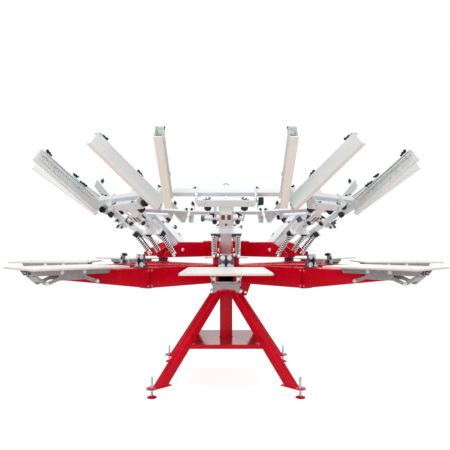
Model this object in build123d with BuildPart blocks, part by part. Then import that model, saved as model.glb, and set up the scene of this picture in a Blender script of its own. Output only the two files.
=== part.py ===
from build123d import *
import os
from math import cos, radians, sin, sqrt

os.makedirs("parts", exist_ok=True)

# Manual carousel press for printing garments by screen.  A braced stand carries two
# carousels on one upright shaft: the lower one turns the pallets, the upper one turns
# the print heads.  Each print head swings up and down on its own pivot, held up by two
# compression springs, and grips a screen frame between two side clamps.
#
# Machine frame: millimetres, +Z up, origin on the floor under the shaft, front at -Y.
# Station frame: +X outward along a station's arm, +Y to its side, +Z up.
# Head frame: the station frame moved to the head's pivot and tipped up by HEAD_RAISE.

# ---------------------------------------------------------------- driving dimensions

STATIONS = 8                 # colours and pallets round the machine
FRONT = -90.0                # heading of the first station

# stand
FOOT_RADIUS = 673.0          # shaft to levelling screw, along the diagonal
PAD_RADIUS = 32.0
PAD_HEIGHT = 14.0
PAD_SEAT = 5.0               # floor of the pad's socket
SCREW_RADIUS = 8.0           # M16 levelling screw
SCREW_TOP = 135.0
NUT_FLATS = 24.0
NUT_HEIGHT = 13.0
THREAD_CLEARANCE = 0.1       # nut or plate bore over screw
FOOT_PLATE_Z = 56.0
FOOT_PLATE_T = 8.0
FOOT_PLATE_W = 70.0
LEG_SIZE = 60.0
LEG_WALL = 4.0
LEG_FOOT_INSET = 65.0        # levelling screw to the leg's axis at the foot plate
LEG_HEAD_RADIUS = 85.0       # leg axis at LEG_HEAD_Z
LEG_HEAD_Z = 640.0
LEG_COUNT = 4
SHELF_TOP = 300.0
SHELF_WIDTH = 566.0
SHELF_DEPTH = 30.0
SHELF_SHEET = 3.0
SHELF_FLANGE = 30.0
SHELF_WALL = 4.0
COLUMN_SIZE = 70.0
COLUMN_WALL = 5.0
FLANGE_RADIUS = 110.0
FLANGE_T = 15.0
FLANGE_TOP = 705.0
WASHER_T = 2.0               # thrust washer under the lower hub
WASHER_RADIUS = 50.0
SHAFT_RADIUS = 28.0
SHAFT_SOCKET = 55.0          # shaft length held inside the column
RUNNING_CLEARANCE = 0.05     # radial, hub on shaft and head on pivot bolt
SHAFT_COLLAR = 44.0
COLLAR_T = 14.0
STOP_REACH = 185.0           # index stop bracket, from the shaft
STOP_DROP = 99.0
STOP_T = 8.0
STOP_OFFSET = 20.0
STOP_NECK = 22.0             # depth of the bracket where it meets the column
STOP_GAP = 4.0
STOP_TOE = (65.0, 35.0)      # the toe's two ends, in from the bracket's reach
STOP_HOLE = (42.0, 24.0)     # in from the reach and up from the toe
STOP_HOLE_RADIUS = 7.0
STOP_CORNER = 12.0

# lower carousel
ARM_TOP = 836.0
ARM_DEPTH = 129.0
ARM_WIDTH = 80.0
ARM_WALL = 4.0
HUB_APOTHEM = 103.0
HUB_WALL = 8.0
HUB_SLEEVE = 46.0
DRUM_RADIUS = 98.0           # drum between the two carousels
DRUM_HEIGHT = 61.0
JOINT_RADIUS = 725.0         # bolted joint in each arm
JOINT_PLATE_T = 10.0
JOINT_PLATE_W = 116.0
JOINT_SLOT_W = 14.0
JOINT_SLOT_L = 70.0
JOINT_BOLT_SIDE = 49.2
JOINT_BOLT_EDGE = 16.0
JOINT_BOLT_FLATS = 15.0
JOINT_BOLT_HEAD = 7.0
ARM_TIP_CLEARANCE = 102.5    # beam tip to the bolt of the pallet saddle's front strut
ARM_TIP_DEPTH = 49.0

# pallets
PALLET_WIDTH = 406.0         # 16 in
PALLET_LENGTH = 559.0        # 22 in
PALLET_T = 9.5
PALLET_TOP = 860.5
PALLET_OUTER_RADIUS = 1524.0
PALLET_CORNER = 18.0
BRACKET_WIDTH = 128.0
BRACKET_DEPTH = 34.0
BRACKET_WALL = 4.0
BRACKET_LENGTH = 489.0
BRACKET_SLANT = 25.0
SADDLE_GAP = 0.3             # saddle cheek inside bracket flange
SADDLE_WALL = 5.0
SADDLE_SPAN = 296.0          # between the two clamp bolts
SADDLE_STRAP = 164.0         # length of the straight strap between them
SADDLE_BOLT_Z = 775.0
SADDLE_STRAP_Z = 788.0
SADDLE_BOLT_FLATS = 19.0
SADDLE_BOLT_HEAD = 8.0
SADDLE_BOLT_EDGE = 16.0
SADDLE_REACH = 50.0          # run of the front strut up to the bracket's end
STRAP_DEPTH = 20.0
STRUT_HALF = 8.0             # half depth of a strut at its bolt
STRUT_TOE = 4.0
STRUT_TIP = 12.0
PACKER_INSET = 60.0
PACKER_LENGTH = 50.0

# registration gates on the arms
GATE_INNER_RADIUS = 735.0
GATE_LENGTH = 50.0
GATE_WIDTH = 90.0
GATE_BASE_T = 6.0
GATE_PLATE_T = 6.0
GATE_HEIGHT = 84.0
ROLLER_RADIUS = 14.5
ROLLER_WIDTH = 12.0
ROLLER_SPACING = 38.0
ROLLER_LOWER = 21.0          # roller axis above the arm
ROLLER_UPPER = 68.0
LEVER_WIDTH = 8.0
LEVER_REACH = 20.0
LEVER_LIP = 8.0              # lever above and below the rollers' axes, at the plate

# upper carousel
CHEEK_BOTTOM = 898.0
CHEEK_HEIGHT = 100.0
CHEEK_T = 8.0
CHEEK_GAP = 74.0             # clear width between a pair of cheeks
CHEEK_SHOULDER_RADIUS = 472.0
CHEEK_NOSE_RADIUS = 600.0
CHEEK_NOSE_HEIGHT = 30.0
UPPER_HUB_APOTHEM = 112.0
UPPER_HUB_WALL = 8.0
CAP_PLATE_APOTHEM = 168.0
CAP_PLATE_T = 8.0
PIVOT_RADIUS = 454.0         # pivot bolt from the shaft
PIVOT_Z = 946.0
BOLT_RADIUS = 8.0            # pivot bolt and spring bolt
BOLT_HEAD = 12.0
SPRING_BOLT_RADIUS = 547.0
SPRING_BOLT_Z = 915.0
SPRING_SIDE = 73.0           # spring axis from the arm's centre
SPRING_OUTER = 17.0
SPRING_INNER = 13.5
SPRING_CUP = 12.0

# print heads
HEAD_RAISE = 36.4            # rest position, degrees above level
HEAD_ARM_WIDTH = 70.0
HEAD_ARM_DEPTH = 36.0
HEAD_ARM_WALL = 3.0
HEAD_ARM_TAIL = 30.0
HEAD_ARM_LENGTH = 465.0
HEAD_ARM_BLOCK = 34.0        # solid end that carries the pivot
SOLE_START = 233.0           # plate under the head end of the arm
SOLE_WIDTH = 84.0
SOLE_T = 6.0
WINDOW_INSET = 125.0         # windows to the end of the arm
WINDOW_LENGTH = 30.0
WINDOW_WIDTH = 24.0
WINDOW_WEB = 17.0
SPRING_PLATE_X = 237.0
SPRING_PLATE_T = 8.0
SPRING_PLATE_TOP = -10.0
SPRING_PLATE_DROP = 42.0
SPRING_CAP_RADIUS = 21.0
SPRING_CAP_LENGTH = 20.0
SPRING_TOP_Z = -30.0
YOKE_LENGTH = 55.0
YOKE_BOTTOM = -35.0
YOKE_DEPTH = 27.0
YOKE_HALF = 160.0
YOKE_WALL = 4.0
END_PLATE_T = 6.0
END_PLATE_TOP = 58.0
END_PLATE_BOTTOM = -38.0
END_PLATE_LENGTH = 60.0
BAR_SIZE = 32.0              # crossbar of square tube
BAR_WALL = 3.0
BAR_OFFSET = 40.0            # crossbar beyond the end of the arm
BAR_Z = 38.0
BAR_HALF = 329.0
BAR_CLEARANCE = 0.1
BAIL_WIDTH = 50.0
BAIL_HEIGHT = 40.0
BAIL_T = 8.0
BAIL_RIM = 8.0

# registration bar under the head
REG_BAR_INSET = 113.0
REG_BAR_LENGTH = 20.0
REG_BAR_DEPTH = 16.0
REG_BAR_LEFT = 135.0
REG_BAR_RIGHT = 98.0
REG_LUG_T = 6.0              # lugs under the bar that carry the round knobs
REG_LUG_WIDTH = 22.0
REG_LUG_DROP = 32.0
REG_KNOB_RADIUS = 15.0
REG_KNOB_LENGTH = 14.0
REG_KNOB_SIDE = 66.0
REG_KNOB_Z = -63.0
TEE_SIDE = 74.0
TEE_STEM = 4.0
TEE_STEM_LENGTH = 22.0
TEE_BAR = 4.0
TEE_BAR_LENGTH = 44.0

# side clamps
CLAMP_INNER = 299.0
CLAMP_WIDTH = 44.0
CLAMP_OFFSET = 19.0          # clamps start beyond the end of the arm
CLAMP_LENGTH = 517.0
CLAMP_BOTTOM = -65.0
CLAMP_TOP = 14.0
CLAMP_WALL = 4.0
CLAMP_LIP = 8.0
CARRIAGE_WIDTH = 28.0
CARRIAGE_WALL = 8.0
STRIP_OFFSET = 95.0
STRIP_LENGTH = 425.0
STRIP_WIDTH = 28.0
STRIP_T = 4.0
STRIP_DROP = 8.0
CLAMP_SCREW_OFFSETS = (211.0, 493.0)
CLAMP_SCREW_RADIUS = 4.0
WING_LENGTH = 44.0
WING_HEIGHT = 16.0
WING_T = 9.0
WING_BOSS = 9.0

# micro adjusting screws and knobs
SCREW_SIDE = 104.0
SCREW_Z = -20.0
MICRO_SCREW = 5.0
MICRO_KNOB_RADIUS = 21.0
MICRO_KNOB_LENGTH = 30.0
MICRO_KNOB_INSET = 33.0
SCREW_TAIL = 6.0
SIDE_KNOB_RADIUS = 22.5
SIDE_KNOB_LENGTH = 28.0
SIDE_KNOB_GAP = 15.0
SIDE_KNOB_OFFSET = 32.0

# ---------------------------------------------------------------- derived positions

YOKE_X = HEAD_ARM_LENGTH
WINDOW_X = HEAD_ARM_LENGTH - WINDOW_INSET
REG_BAR_X = HEAD_ARM_LENGTH - REG_BAR_INSET
BAR_X = YOKE_X + BAR_OFFSET
CLAMP_X = YOKE_X + CLAMP_OFFSET
STRIP_START = YOKE_X + STRIP_OFFSET
CLAMP_SCREW_X = (YOKE_X + CLAMP_SCREW_OFFSETS[0], YOKE_X + CLAMP_SCREW_OFFSETS[1])
MICRO_KNOB_X = YOKE_X - MICRO_KNOB_INSET
SIDE_KNOB_X = YOKE_X + SIDE_KNOB_OFFSET
PALLET_INNER_RADIUS = PALLET_OUTER_RADIUS - PALLET_LENGTH
PALLET_CENTRE = PALLET_OUTER_RADIUS - PALLET_LENGTH / 2
ARM_TIP_RADIUS = PALLET_CENTRE + SADDLE_SPAN / 2 - ARM_TIP_CLEARANCE
BRACKET_TOP = PALLET_TOP - PALLET_T
BRACKET_BOTTOM = BRACKET_TOP - BRACKET_DEPTH
ARM_BOTTOM = ARM_TOP - ARM_DEPTH
FLANGE_BOTTOM = FLANGE_TOP - FLANGE_T
HUB_BOTTOM = FLANGE_TOP + WASHER_T
DRUM_TOP = ARM_TOP + DRUM_HEIGHT
CHEEK_TOP = CHEEK_BOTTOM + CHEEK_HEIGHT
SHAFT_TOP = CHEEK_TOP + CAP_PLATE_T
LEG_FOOT_RADIUS = FOOT_RADIUS - LEG_FOOT_INSET
LEG_SLOPE = (LEG_HEAD_Z - FOOT_PLATE_Z) / (LEG_FOOT_RADIUS - LEG_HEAD_RADIUS)
ARM_UNDERSIDE = -HEAD_ARM_DEPTH / 2
SOLE_BOTTOM = ARM_UNDERSIDE - SOLE_T


def leg_z(radius):
    """Height of the leg's axis at a distance from the shaft."""
    return FOOT_PLATE_Z + (LEG_FOOT_RADIUS - radius) * LEG_SLOPE


def leg_radius(height, lift=0.0):
    """Distance from the shaft at which the leg's axis, moved up by lift, is at a height."""
    return LEG_FOOT_RADIUS - (height - FOOT_PLATE_Z - lift) / LEG_SLOPE


def save(name, shape):
    """Label a finished piece and write it out."""
    shape.label = name
    export_step(shape, f"parts/{name}.step")


def on_stations(shape):
    """The same piece at every station of a carousel."""
    with BuildPart() as ring:
        with PolarLocations(0, STATIONS, start_angle=FRONT):
            add(shape)
    return ring.part


def on_legs(shape):
    """The same piece on every leg of the stand."""
    with BuildPart() as ring:
        with PolarLocations(0, LEG_COUNT, start_angle=360 / LEG_COUNT / 2):
            add(shape)
    return ring.part


def head_seat(index):
    """Where the head frame of a station lies in the machine frame."""
    heading = Location((0, 0, 0), (0, 0, FRONT + index * 360 / STATIONS))
    return heading * Location((PIVOT_RADIUS, 0, PIVOT_Z), (0, -HEAD_RAISE, 0))


def on_head(index, *shapes):
    """Pieces drawn in the head frame, placed at one station."""
    with BuildPart() as placed:
        with Locations(head_seat(index)):
            for shape in shapes:
                add(shape)
    return placed.part


# ---------------------------------------------------------------- stand

with BuildPart() as foot_pad:
    with BuildSketch(Plane.XZ):
        with BuildLine():
            Polyline(
                (FOOT_RADIUS, 0),
                (FOOT_RADIUS + PAD_RADIUS - 2, 0),
                (FOOT_RADIUS + PAD_RADIUS, 2),
                (FOOT_RADIUS + PAD_RADIUS, PAD_SEAT),
                (FOOT_RADIUS + PAD_RADIUS / 2, PAD_HEIGHT),
                (FOOT_RADIUS, PAD_HEIGHT),
                close=True,
            )
        make_face()
    revolve(axis=Axis((FOOT_RADIUS, 0, 0), (0, 0, 1)))
    with Locations((FOOT_RADIUS, 0, PAD_HEIGHT)):
        Hole(SCREW_RADIUS + THREAD_CLEARANCE, depth=PAD_HEIGHT - PAD_SEAT)
save("foot_pads", on_legs(foot_pad.part))

with BuildPart() as levelling_screw:
    with BuildSketch(Plane.XY.offset(PAD_SEAT)):
        with Locations((FOOT_RADIUS, 0)):
            Circle(SCREW_RADIUS)
    extrude(amount=SCREW_TOP - PAD_SEAT)
    chamfer(levelling_screw.edges().group_by(Axis.Z)[-1], 1.5)
    for nut_z in (FOOT_PLATE_Z - NUT_HEIGHT, FOOT_PLATE_Z + FOOT_PLATE_T):
        with BuildSketch(Plane.XY.offset(nut_z)):
            with Locations((FOOT_RADIUS, 0)):
                RegularPolygon(NUT_FLATS / 2, 6, major_radius=False)
                Circle(SCREW_RADIUS + THREAD_CLEARANCE, mode=Mode.SUBTRACT)
        extrude(amount=NUT_HEIGHT)
save("levelling_screws", on_legs(levelling_screw.part))

foot_plate_inner = leg_radius(FOOT_PLATE_Z + FOOT_PLATE_T, -LEG_SIZE)
with BuildPart() as foot_plate:
    with BuildSketch(Plane.XY.offset(FOOT_PLATE_Z)):
        with Locations(((foot_plate_inner + FOOT_RADIUS) / 2, 0)):
            Rectangle(FOOT_RADIUS - foot_plate_inner, FOOT_PLATE_W)
        with Locations((FOOT_RADIUS, 0)):
            Circle(FOOT_PLATE_W / 2)
            Circle(SCREW_RADIUS + THREAD_CLEARANCE, mode=Mode.SUBTRACT)
    extrude(amount=FOOT_PLATE_T)
save("foot_plates", on_legs(foot_plate.part))


def leg_outline(size, start_z, end_z, end_radius):
    """Side outline of a leg: sloping faces, level foot, flat top and upright butt."""
    rise = size / 2 * sqrt(1 + LEG_SLOPE**2)
    return Polyline(
        (leg_radius(start_z, rise), start_z),
        (leg_radius(end_z, rise), end_z),
        (end_radius, end_z),
        (end_radius, leg_z(end_radius) - rise),
        (leg_radius(start_z, -rise), start_z),
        close=True,
    )


with BuildPart() as leg_envelope:
    with BuildSketch(Plane.XZ):
        with BuildLine():
            leg_outline(LEG_SIZE, FOOT_PLATE_Z + FOOT_PLATE_T, FLANGE_BOTTOM, COLUMN_SIZE / 2)
        make_face()
    extrude(amount=LEG_SIZE / 2, both=True)

with BuildPart() as leg:
    add(leg_envelope.part)
    with BuildSketch(Plane.XZ):
        with BuildLine():
            leg_outline(LEG_SIZE - 2 * LEG_WALL, 0, FLANGE_BOTTOM, COLUMN_SIZE / 2)
        make_face()
    extrude(amount=LEG_SIZE / 2 - LEG_WALL, both=True, mode=Mode.SUBTRACT)
save("legs", on_legs(leg.part))

legs_around = on_legs(leg_envelope.part)
shelf_corner = leg_radius(SHELF_TOP - SHELF_DEPTH, -LEG_SIZE / 2 * sqrt(1 + LEG_SLOPE**2))
shelf_rail_height = SHELF_DEPTH - SHELF_SHEET

with BuildPart() as shelf_frame:
    with BuildSketch(Plane.XY.offset(SHELF_TOP - SHELF_DEPTH)):
        Rectangle(SHELF_WIDTH, SHELF_WIDTH)
        Rectangle(2 * shelf_corner, 2 * shelf_corner, rotation=45, mode=Mode.INTERSECT)
    extrude(amount=shelf_rail_height)
    with BuildSketch(Plane.XY.offset(SHELF_TOP - SHELF_DEPTH)):
        Rectangle(SHELF_WIDTH - 2 * SHELF_FLANGE, SHELF_WIDTH - 2 * SHELF_FLANGE)
        corner_inside = shelf_corner - SHELF_FLANGE
        Rectangle(2 * corner_inside, 2 * corner_inside, rotation=45, mode=Mode.INTERSECT)
        Rectangle(SHELF_WIDTH, 2 * SHELF_FLANGE, mode=Mode.SUBTRACT)
    extrude(amount=shelf_rail_height, mode=Mode.SUBTRACT)
    with BuildSketch(Plane.XY.offset(SHELF_TOP - SHELF_DEPTH + SHELF_WALL)):
        inside = SHELF_WIDTH - 2 * SHELF_WALL
        Rectangle(inside, inside)
        corner_wall = shelf_corner - LEG_SIZE
        Rectangle(2 * corner_wall, 2 * corner_wall, rotation=45, mode=Mode.INTERSECT)
        with Locations((0, SHELF_FLANGE), (0, -SHELF_FLANGE)):
            Rectangle(SHELF_WIDTH, SHELF_WALL, mode=Mode.SUBTRACT)
    extrude(amount=shelf_rail_height, mode=Mode.SUBTRACT)
    add(legs_around, mode=Mode.SUBTRACT)
save("shelf_frame", shelf_frame.part)

with BuildPart() as shelf_panel:
    with BuildSketch(Plane.XY.offset(SHELF_TOP - SHELF_SHEET)):
        Rectangle(SHELF_WIDTH, SHELF_WIDTH)
        Rectangle(2 * shelf_corner, 2 * shelf_corner, rotation=45, mode=Mode.INTERSECT)
    extrude(amount=SHELF_SHEET)
    add(legs_around, mode=Mode.SUBTRACT)
save("shelf_panel", shelf_panel.part)

with BuildPart() as column:
    with BuildSketch(Plane.XY.offset(SHELF_TOP)):
        Rectangle(COLUMN_SIZE, COLUMN_SIZE, rotation=45)
    extrude(amount=FLANGE_BOTTOM - SHELF_TOP)
    with BuildSketch(Plane.XY.offset(SHELF_TOP)):
        Rectangle(COLUMN_SIZE - 2 * COLUMN_WALL, COLUMN_SIZE - 2 * COLUMN_WALL, rotation=45)
    extrude(amount=FLANGE_BOTTOM - SHELF_TOP, mode=Mode.SUBTRACT)
save("column", column.part)

with BuildPart() as head_flange:
    with BuildSketch(Plane.XY.offset(FLANGE_BOTTOM)):
        Circle(FLANGE_RADIUS)
        Circle(SHAFT_RADIUS + THREAD_CLEARANCE, mode=Mode.SUBTRACT)
    extrude(amount=FLANGE_T)
    with BuildSketch(Plane.XY.offset(FLANGE_TOP)):
        Circle(WASHER_RADIUS)
        Circle(SHAFT_RADIUS + THREAD_CLEARANCE, mode=Mode.SUBTRACT)
    extrude(amount=WASHER_T - RUNNING_CLEARANCE)
save("head_flange", head_flange.part)

collar_z = SHAFT_TOP + RUNNING_CLEARANCE
with BuildPart() as centre_shaft:
    with BuildSketch(Plane.XY.offset(FLANGE_BOTTOM - SHAFT_SOCKET)):
        Circle(SHAFT_RADIUS)
    extrude(amount=collar_z + COLLAR_T - FLANGE_BOTTOM + SHAFT_SOCKET)
    with BuildSketch(Plane.XY.offset(collar_z)):
        Circle(SHAFT_COLLAR)
    extrude(amount=COLLAR_T)
    chamfer(centre_shaft.edges().group_by(Axis.Z)[-1], 3)
save("centre_shaft", centre_shaft.part)

with BuildPart() as stop_bracket:
    with BuildSketch(Plane.XZ.offset(STOP_OFFSET)) as stop_face:
        with BuildLine():
            Polyline(
                (COLUMN_SIZE + STOP_GAP, FLANGE_BOTTOM),
                (FLANGE_RADIUS, FLANGE_BOTTOM),
                (FLANGE_RADIUS, FLANGE_TOP),
                (STOP_REACH, FLANGE_TOP),
                (STOP_REACH - STOP_TOE[1], FLANGE_TOP - STOP_DROP),
                (STOP_REACH - STOP_TOE[0], FLANGE_TOP - STOP_DROP),
                (COLUMN_SIZE + STOP_GAP, FLANGE_BOTTOM - STOP_NECK),
                close=True,
            )
        make_face()
        fillet(stop_face.vertices().group_by(Axis.Y)[0], STOP_CORNER)
        with Locations((STOP_REACH - STOP_HOLE[0], FLANGE_TOP - STOP_DROP + STOP_HOLE[1])):
            Circle(STOP_HOLE_RADIUS, mode=Mode.SUBTRACT)
    extrude(amount=STOP_T)
save("stop_bracket", stop_bracket.part)

# ---------------------------------------------------------------- lower carousel

with BuildPart() as lower_hub:
    with BuildSketch(Plane.XY.offset(HUB_BOTTOM)):
        RegularPolygon(HUB_APOTHEM, STATIONS, major_radius=False, rotation=180 / STATIONS)
        RegularPolygon(
            HUB_APOTHEM - HUB_WALL,
            STATIONS,
            major_radius=False,
            rotation=180 / STATIONS,
            mode=Mode.SUBTRACT,
        )
    extrude(amount=ARM_TOP - HUB_BOTTOM)
    with BuildSketch(Plane.XY.offset(ARM_TOP - HUB_WALL)):
        RegularPolygon(HUB_APOTHEM, STATIONS, major_radius=False, rotation=180 / STATIONS)
    extrude(amount=HUB_WALL)
    with BuildSketch(Plane.XY.offset(ARM_TOP)):
        Circle(DRUM_RADIUS)
        Circle(DRUM_RADIUS - HUB_WALL, mode=Mode.SUBTRACT)
    extrude(amount=DRUM_HEIGHT)
    with BuildSketch(Plane.XY.offset(HUB_BOTTOM)):
        Circle(HUB_SLEEVE)
    extrude(amount=DRUM_TOP - HUB_BOTTOM)
    with BuildSketch(Plane.XY.offset(HUB_BOTTOM)):
        Circle(SHAFT_RADIUS + RUNNING_CLEARANCE)
    extrude(amount=DRUM_TOP - HUB_BOTTOM, mode=Mode.SUBTRACT)
save("lower_hub", lower_hub.part)

joint_z = ARM_TOP - ARM_DEPTH / 2
with BuildPart() as joint_relief:
    for side in (-1, 1):
        with BuildSketch(Plane.XZ.offset(side * JOINT_PLATE_W / 2)):
            with Locations((JOINT_RADIUS, joint_z)):
                SlotOverall(JOINT_SLOT_L, JOINT_SLOT_W, rotation=90)
        extrude(amount=-side * (JOINT_PLATE_W - ARM_WIDTH) / 2)


def joint_plate(start):
    """Plate welded across one end of an arm tube, relieved along its bolted face."""
    with BuildPart() as plate:
        with BuildSketch(Plane.YZ.offset(start)):
            with Locations((0, joint_z)):
                Rectangle(JOINT_PLATE_W, ARM_DEPTH)
        extrude(amount=JOINT_PLATE_T)
        add(joint_relief.part, mode=Mode.SUBTRACT)
    return plate.part


with BuildPart() as arm_root:
    with BuildSketch(Plane.YZ.offset(HUB_APOTHEM)):
        with Locations((0, joint_z)):
            Rectangle(ARM_WIDTH, ARM_DEPTH)
            Rectangle(ARM_WIDTH - 2 * ARM_WALL, ARM_DEPTH - 2 * ARM_WALL, mode=Mode.SUBTRACT)
    extrude(amount=JOINT_RADIUS - JOINT_PLATE_T - HUB_APOTHEM)
    add(joint_plate(JOINT_RADIUS - JOINT_PLATE_T))
save("arm_roots", on_stations(arm_root.part))

beam_start = JOINT_RADIUS + JOINT_PLATE_T


def beam_outline(wall):
    """Side outline of the tapered outer beam, drawn in by a wall top and bottom."""
    return Polyline(
        (beam_start, ARM_BOTTOM + wall),
        (beam_start, ARM_TOP - wall),
        (ARM_TIP_RADIUS, ARM_TOP - wall),
        (ARM_TIP_RADIUS, ARM_TOP - ARM_TIP_DEPTH + wall),
        close=True,
    )


with BuildPart() as arm_beam:
    with BuildSketch(Plane.XZ):
        with BuildLine():
            beam_outline(0)
        make_face()
    extrude(amount=ARM_WIDTH / 2, both=True)
    with BuildSketch(Plane.XZ):
        with BuildLine():
            beam_outline(ARM_WALL)
        make_face()
    extrude(amount=ARM_WIDTH / 2 - ARM_WALL, both=True, mode=Mode.SUBTRACT)
    add(joint_plate(JOINT_RADIUS))
save("arm_beams", on_stations(arm_beam.part))

with BuildPart() as joint_bolts:
    for bolt_y in (-JOINT_BOLT_SIDE, JOINT_BOLT_SIDE):
        for bolt_z in (ARM_TOP - JOINT_BOLT_EDGE, ARM_BOTTOM + JOINT_BOLT_EDGE):
            for start, length in (
                (beam_start, JOINT_BOLT_HEAD),
                (JOINT_RADIUS - JOINT_PLATE_T, -JOINT_BOLT_HEAD),
            ):
                with BuildSketch(Plane.YZ.offset(start)):
                    with Locations((bolt_y, bolt_z)):
                        RegularPolygon(JOINT_BOLT_FLATS / 2, 6, major_radius=False)
                extrude(amount=length)
save("arm_joint_bolts", on_stations(joint_bolts.part))

# ---------------------------------------------------------------- pallets

bracket_outer = PALLET_CENTRE + BRACKET_LENGTH / 2
bracket_inner = PALLET_CENTRE - BRACKET_LENGTH / 2

with BuildPart() as pallet_board:
    with BuildSketch(Plane.XY.offset(BRACKET_TOP)):
        with Locations((PALLET_CENTRE, 0)):
            RectangleRounded(PALLET_LENGTH, PALLET_WIDTH, PALLET_CORNER)
    extrude(amount=PALLET_T)
save("pallet_boards", on_stations(pallet_board.part))

with BuildPart() as pallet_bracket:
    with BuildSketch(Plane.XZ):
        with BuildLine():
            Polyline(
                (bracket_inner, BRACKET_TOP),
                (bracket_outer, BRACKET_TOP),
                (bracket_outer - BRACKET_SLANT, BRACKET_BOTTOM),
                (bracket_inner + BRACKET_SLANT, BRACKET_BOTTOM),
                close=True,
            )
        make_face()
    extrude(amount=BRACKET_WIDTH / 2, both=True)
    with BuildSketch(Plane.YZ.offset(bracket_inner)):
        with Locations((0, BRACKET_TOP - BRACKET_WALL)):
            Rectangle(
                BRACKET_WIDTH - 2 * BRACKET_WALL,
                BRACKET_DEPTH,
                align=(Align.CENTER, Align.MAX),
            )
    extrude(amount=BRACKET_LENGTH, mode=Mode.SUBTRACT)
save("pallet_brackets", on_stations(pallet_bracket.part))

saddle_half = BRACKET_WIDTH / 2 - BRACKET_WALL - SADDLE_GAP
strut_inner = PALLET_CENTRE - SADDLE_SPAN / 2
strut_outer = PALLET_CENTRE + SADDLE_SPAN / 2
strap_inner = PALLET_CENTRE - SADDLE_STRAP / 2
strap_outer = PALLET_CENTRE + SADDLE_STRAP / 2

with BuildPart() as pallet_saddle:
    for side in (-1, 1):
        with BuildSketch(Plane.XZ.offset(-side * (saddle_half - SADDLE_WALL / 2))) as cheek_face:
            with BuildLine():
                Polyline(
                    (strap_inner, BRACKET_TOP - BRACKET_WALL),
                    (strap_outer, BRACKET_TOP - BRACKET_WALL),
                    (strap_outer, SADDLE_STRAP_Z + STRAP_DEPTH),
                    (strut_outer - STRUT_TOE, SADDLE_BOLT_Z + STRUT_HALF),
                    (strut_outer + SADDLE_REACH, BRACKET_BOTTOM),
                    (strut_outer + SADDLE_REACH + STRUT_TIP, BRACKET_BOTTOM - STRUT_TOE),
                    (strut_outer + STRUT_HALF, SADDLE_BOLT_Z - STRUT_HALF),
                    (strut_outer - STRUT_TIP, SADDLE_BOLT_Z - STRUT_HALF),
                    (strap_outer - STRUT_TOE, SADDLE_STRAP_Z),
                    (strap_inner + STRUT_TOE, SADDLE_STRAP_Z),
                    (strut_inner + STRUT_TIP, SADDLE_BOLT_Z - STRUT_HALF),
                    (strut_inner - STRUT_HALF, SADDLE_BOLT_Z - STRUT_HALF),
                    (strut_inner - STRUT_TOE, SADDLE_BOLT_Z + STRUT_HALF),
                    (strap_inner, SADDLE_STRAP_Z + STRAP_DEPTH),
                    close=True,
                )
            make_face()
        extrude(amount=SADDLE_WALL / 2, both=True)
    with BuildSketch(Plane.XZ):
        with BuildLine():
            Polyline(
                (strut_outer + STRUT_HALF, SADDLE_BOLT_Z - STRUT_HALF),
                (strut_outer + SADDLE_REACH + STRUT_TIP, BRACKET_BOTTOM - STRUT_TOE),
                (strut_outer + SADDLE_REACH + STRUT_HALF, BRACKET_BOTTOM),
                (strut_outer + STRUT_TOE, SADDLE_BOLT_Z - STRUT_TOE),
                close=True,
            )
        make_face()
    extrude(amount=saddle_half, both=True)
save("pallet_saddles", on_stations(pallet_saddle.part))

with BuildPart() as pallet_packer:
    with BuildSketch(Plane.XY.offset(ARM_TOP)):
        for packer_x in (bracket_inner + PACKER_INSET, ARM_TIP_RADIUS - PACKER_INSET):
            with Locations((packer_x, 0)):
                Rectangle(PACKER_LENGTH, ARM_WIDTH)
    extrude(amount=BRACKET_TOP - BRACKET_WALL - ARM_TOP)
save("pallet_packers", on_stations(pallet_packer.part))

with BuildPart() as pallet_bolts:
    for side in (-1, 1):
        with BuildSketch(Plane.XZ.offset(-side * BRACKET_WIDTH / 2)):
            with Locations(
                (strap_inner + SADDLE_BOLT_EDGE, BRACKET_BOTTOM + SADDLE_BOLT_EDGE),
                (strap_outer - SADDLE_BOLT_EDGE, BRACKET_BOTTOM + SADDLE_BOLT_EDGE),
            ):
                RegularPolygon(SADDLE_BOLT_FLATS / 2, 6, major_radius=False)
        extrude(amount=-side * SADDLE_BOLT_HEAD)
        with BuildSketch(Plane.XZ.offset(-side * saddle_half)):
            with Locations((strut_inner, SADDLE_BOLT_Z), (strut_outer, SADDLE_BOLT_Z)):
                RegularPolygon(SADDLE_BOLT_FLATS / 2, 6, major_radius=False)
        extrude(amount=-side * 2 * SADDLE_BOLT_HEAD)
save("pallet_bolts", on_stations(pallet_bolts.part))

# ---------------------------------------------------------------- registration gates

gate_plate_x = GATE_INNER_RADIUS + GATE_LENGTH / 2

with BuildPart() as registration_gate:
    with BuildSketch(Plane.XY.offset(ARM_TOP)):
        with Locations((gate_plate_x, 0)):
            Rectangle(GATE_LENGTH, GATE_WIDTH)
    extrude(amount=GATE_BASE_T)
    with BuildSketch(Plane.YZ.offset(gate_plate_x - GATE_PLATE_T)) as gate_face:
        with Locations((0, ARM_TOP)):
            Rectangle(GATE_WIDTH, GATE_HEIGHT, align=(Align.CENTER, Align.MIN))
        fillet(gate_face.vertices().group_by(Axis.Y)[-1], 10)
    extrude(amount=GATE_PLATE_T)
save("registration_gates", on_stations(registration_gate.part))

with BuildPart() as registration_rollers:
    with BuildSketch(Plane.YZ.offset(gate_plate_x)):
        for roller_z in (ARM_TOP + ROLLER_LOWER, ARM_TOP + ROLLER_UPPER):
            for roller_y in (-ROLLER_SPACING / 2, ROLLER_SPACING / 2):
                with Locations((roller_y, roller_z)):
                    Circle(ROLLER_RADIUS)
    extrude(amount=ROLLER_WIDTH)
save("registration_rollers", on_stations(registration_rollers.part))

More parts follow.
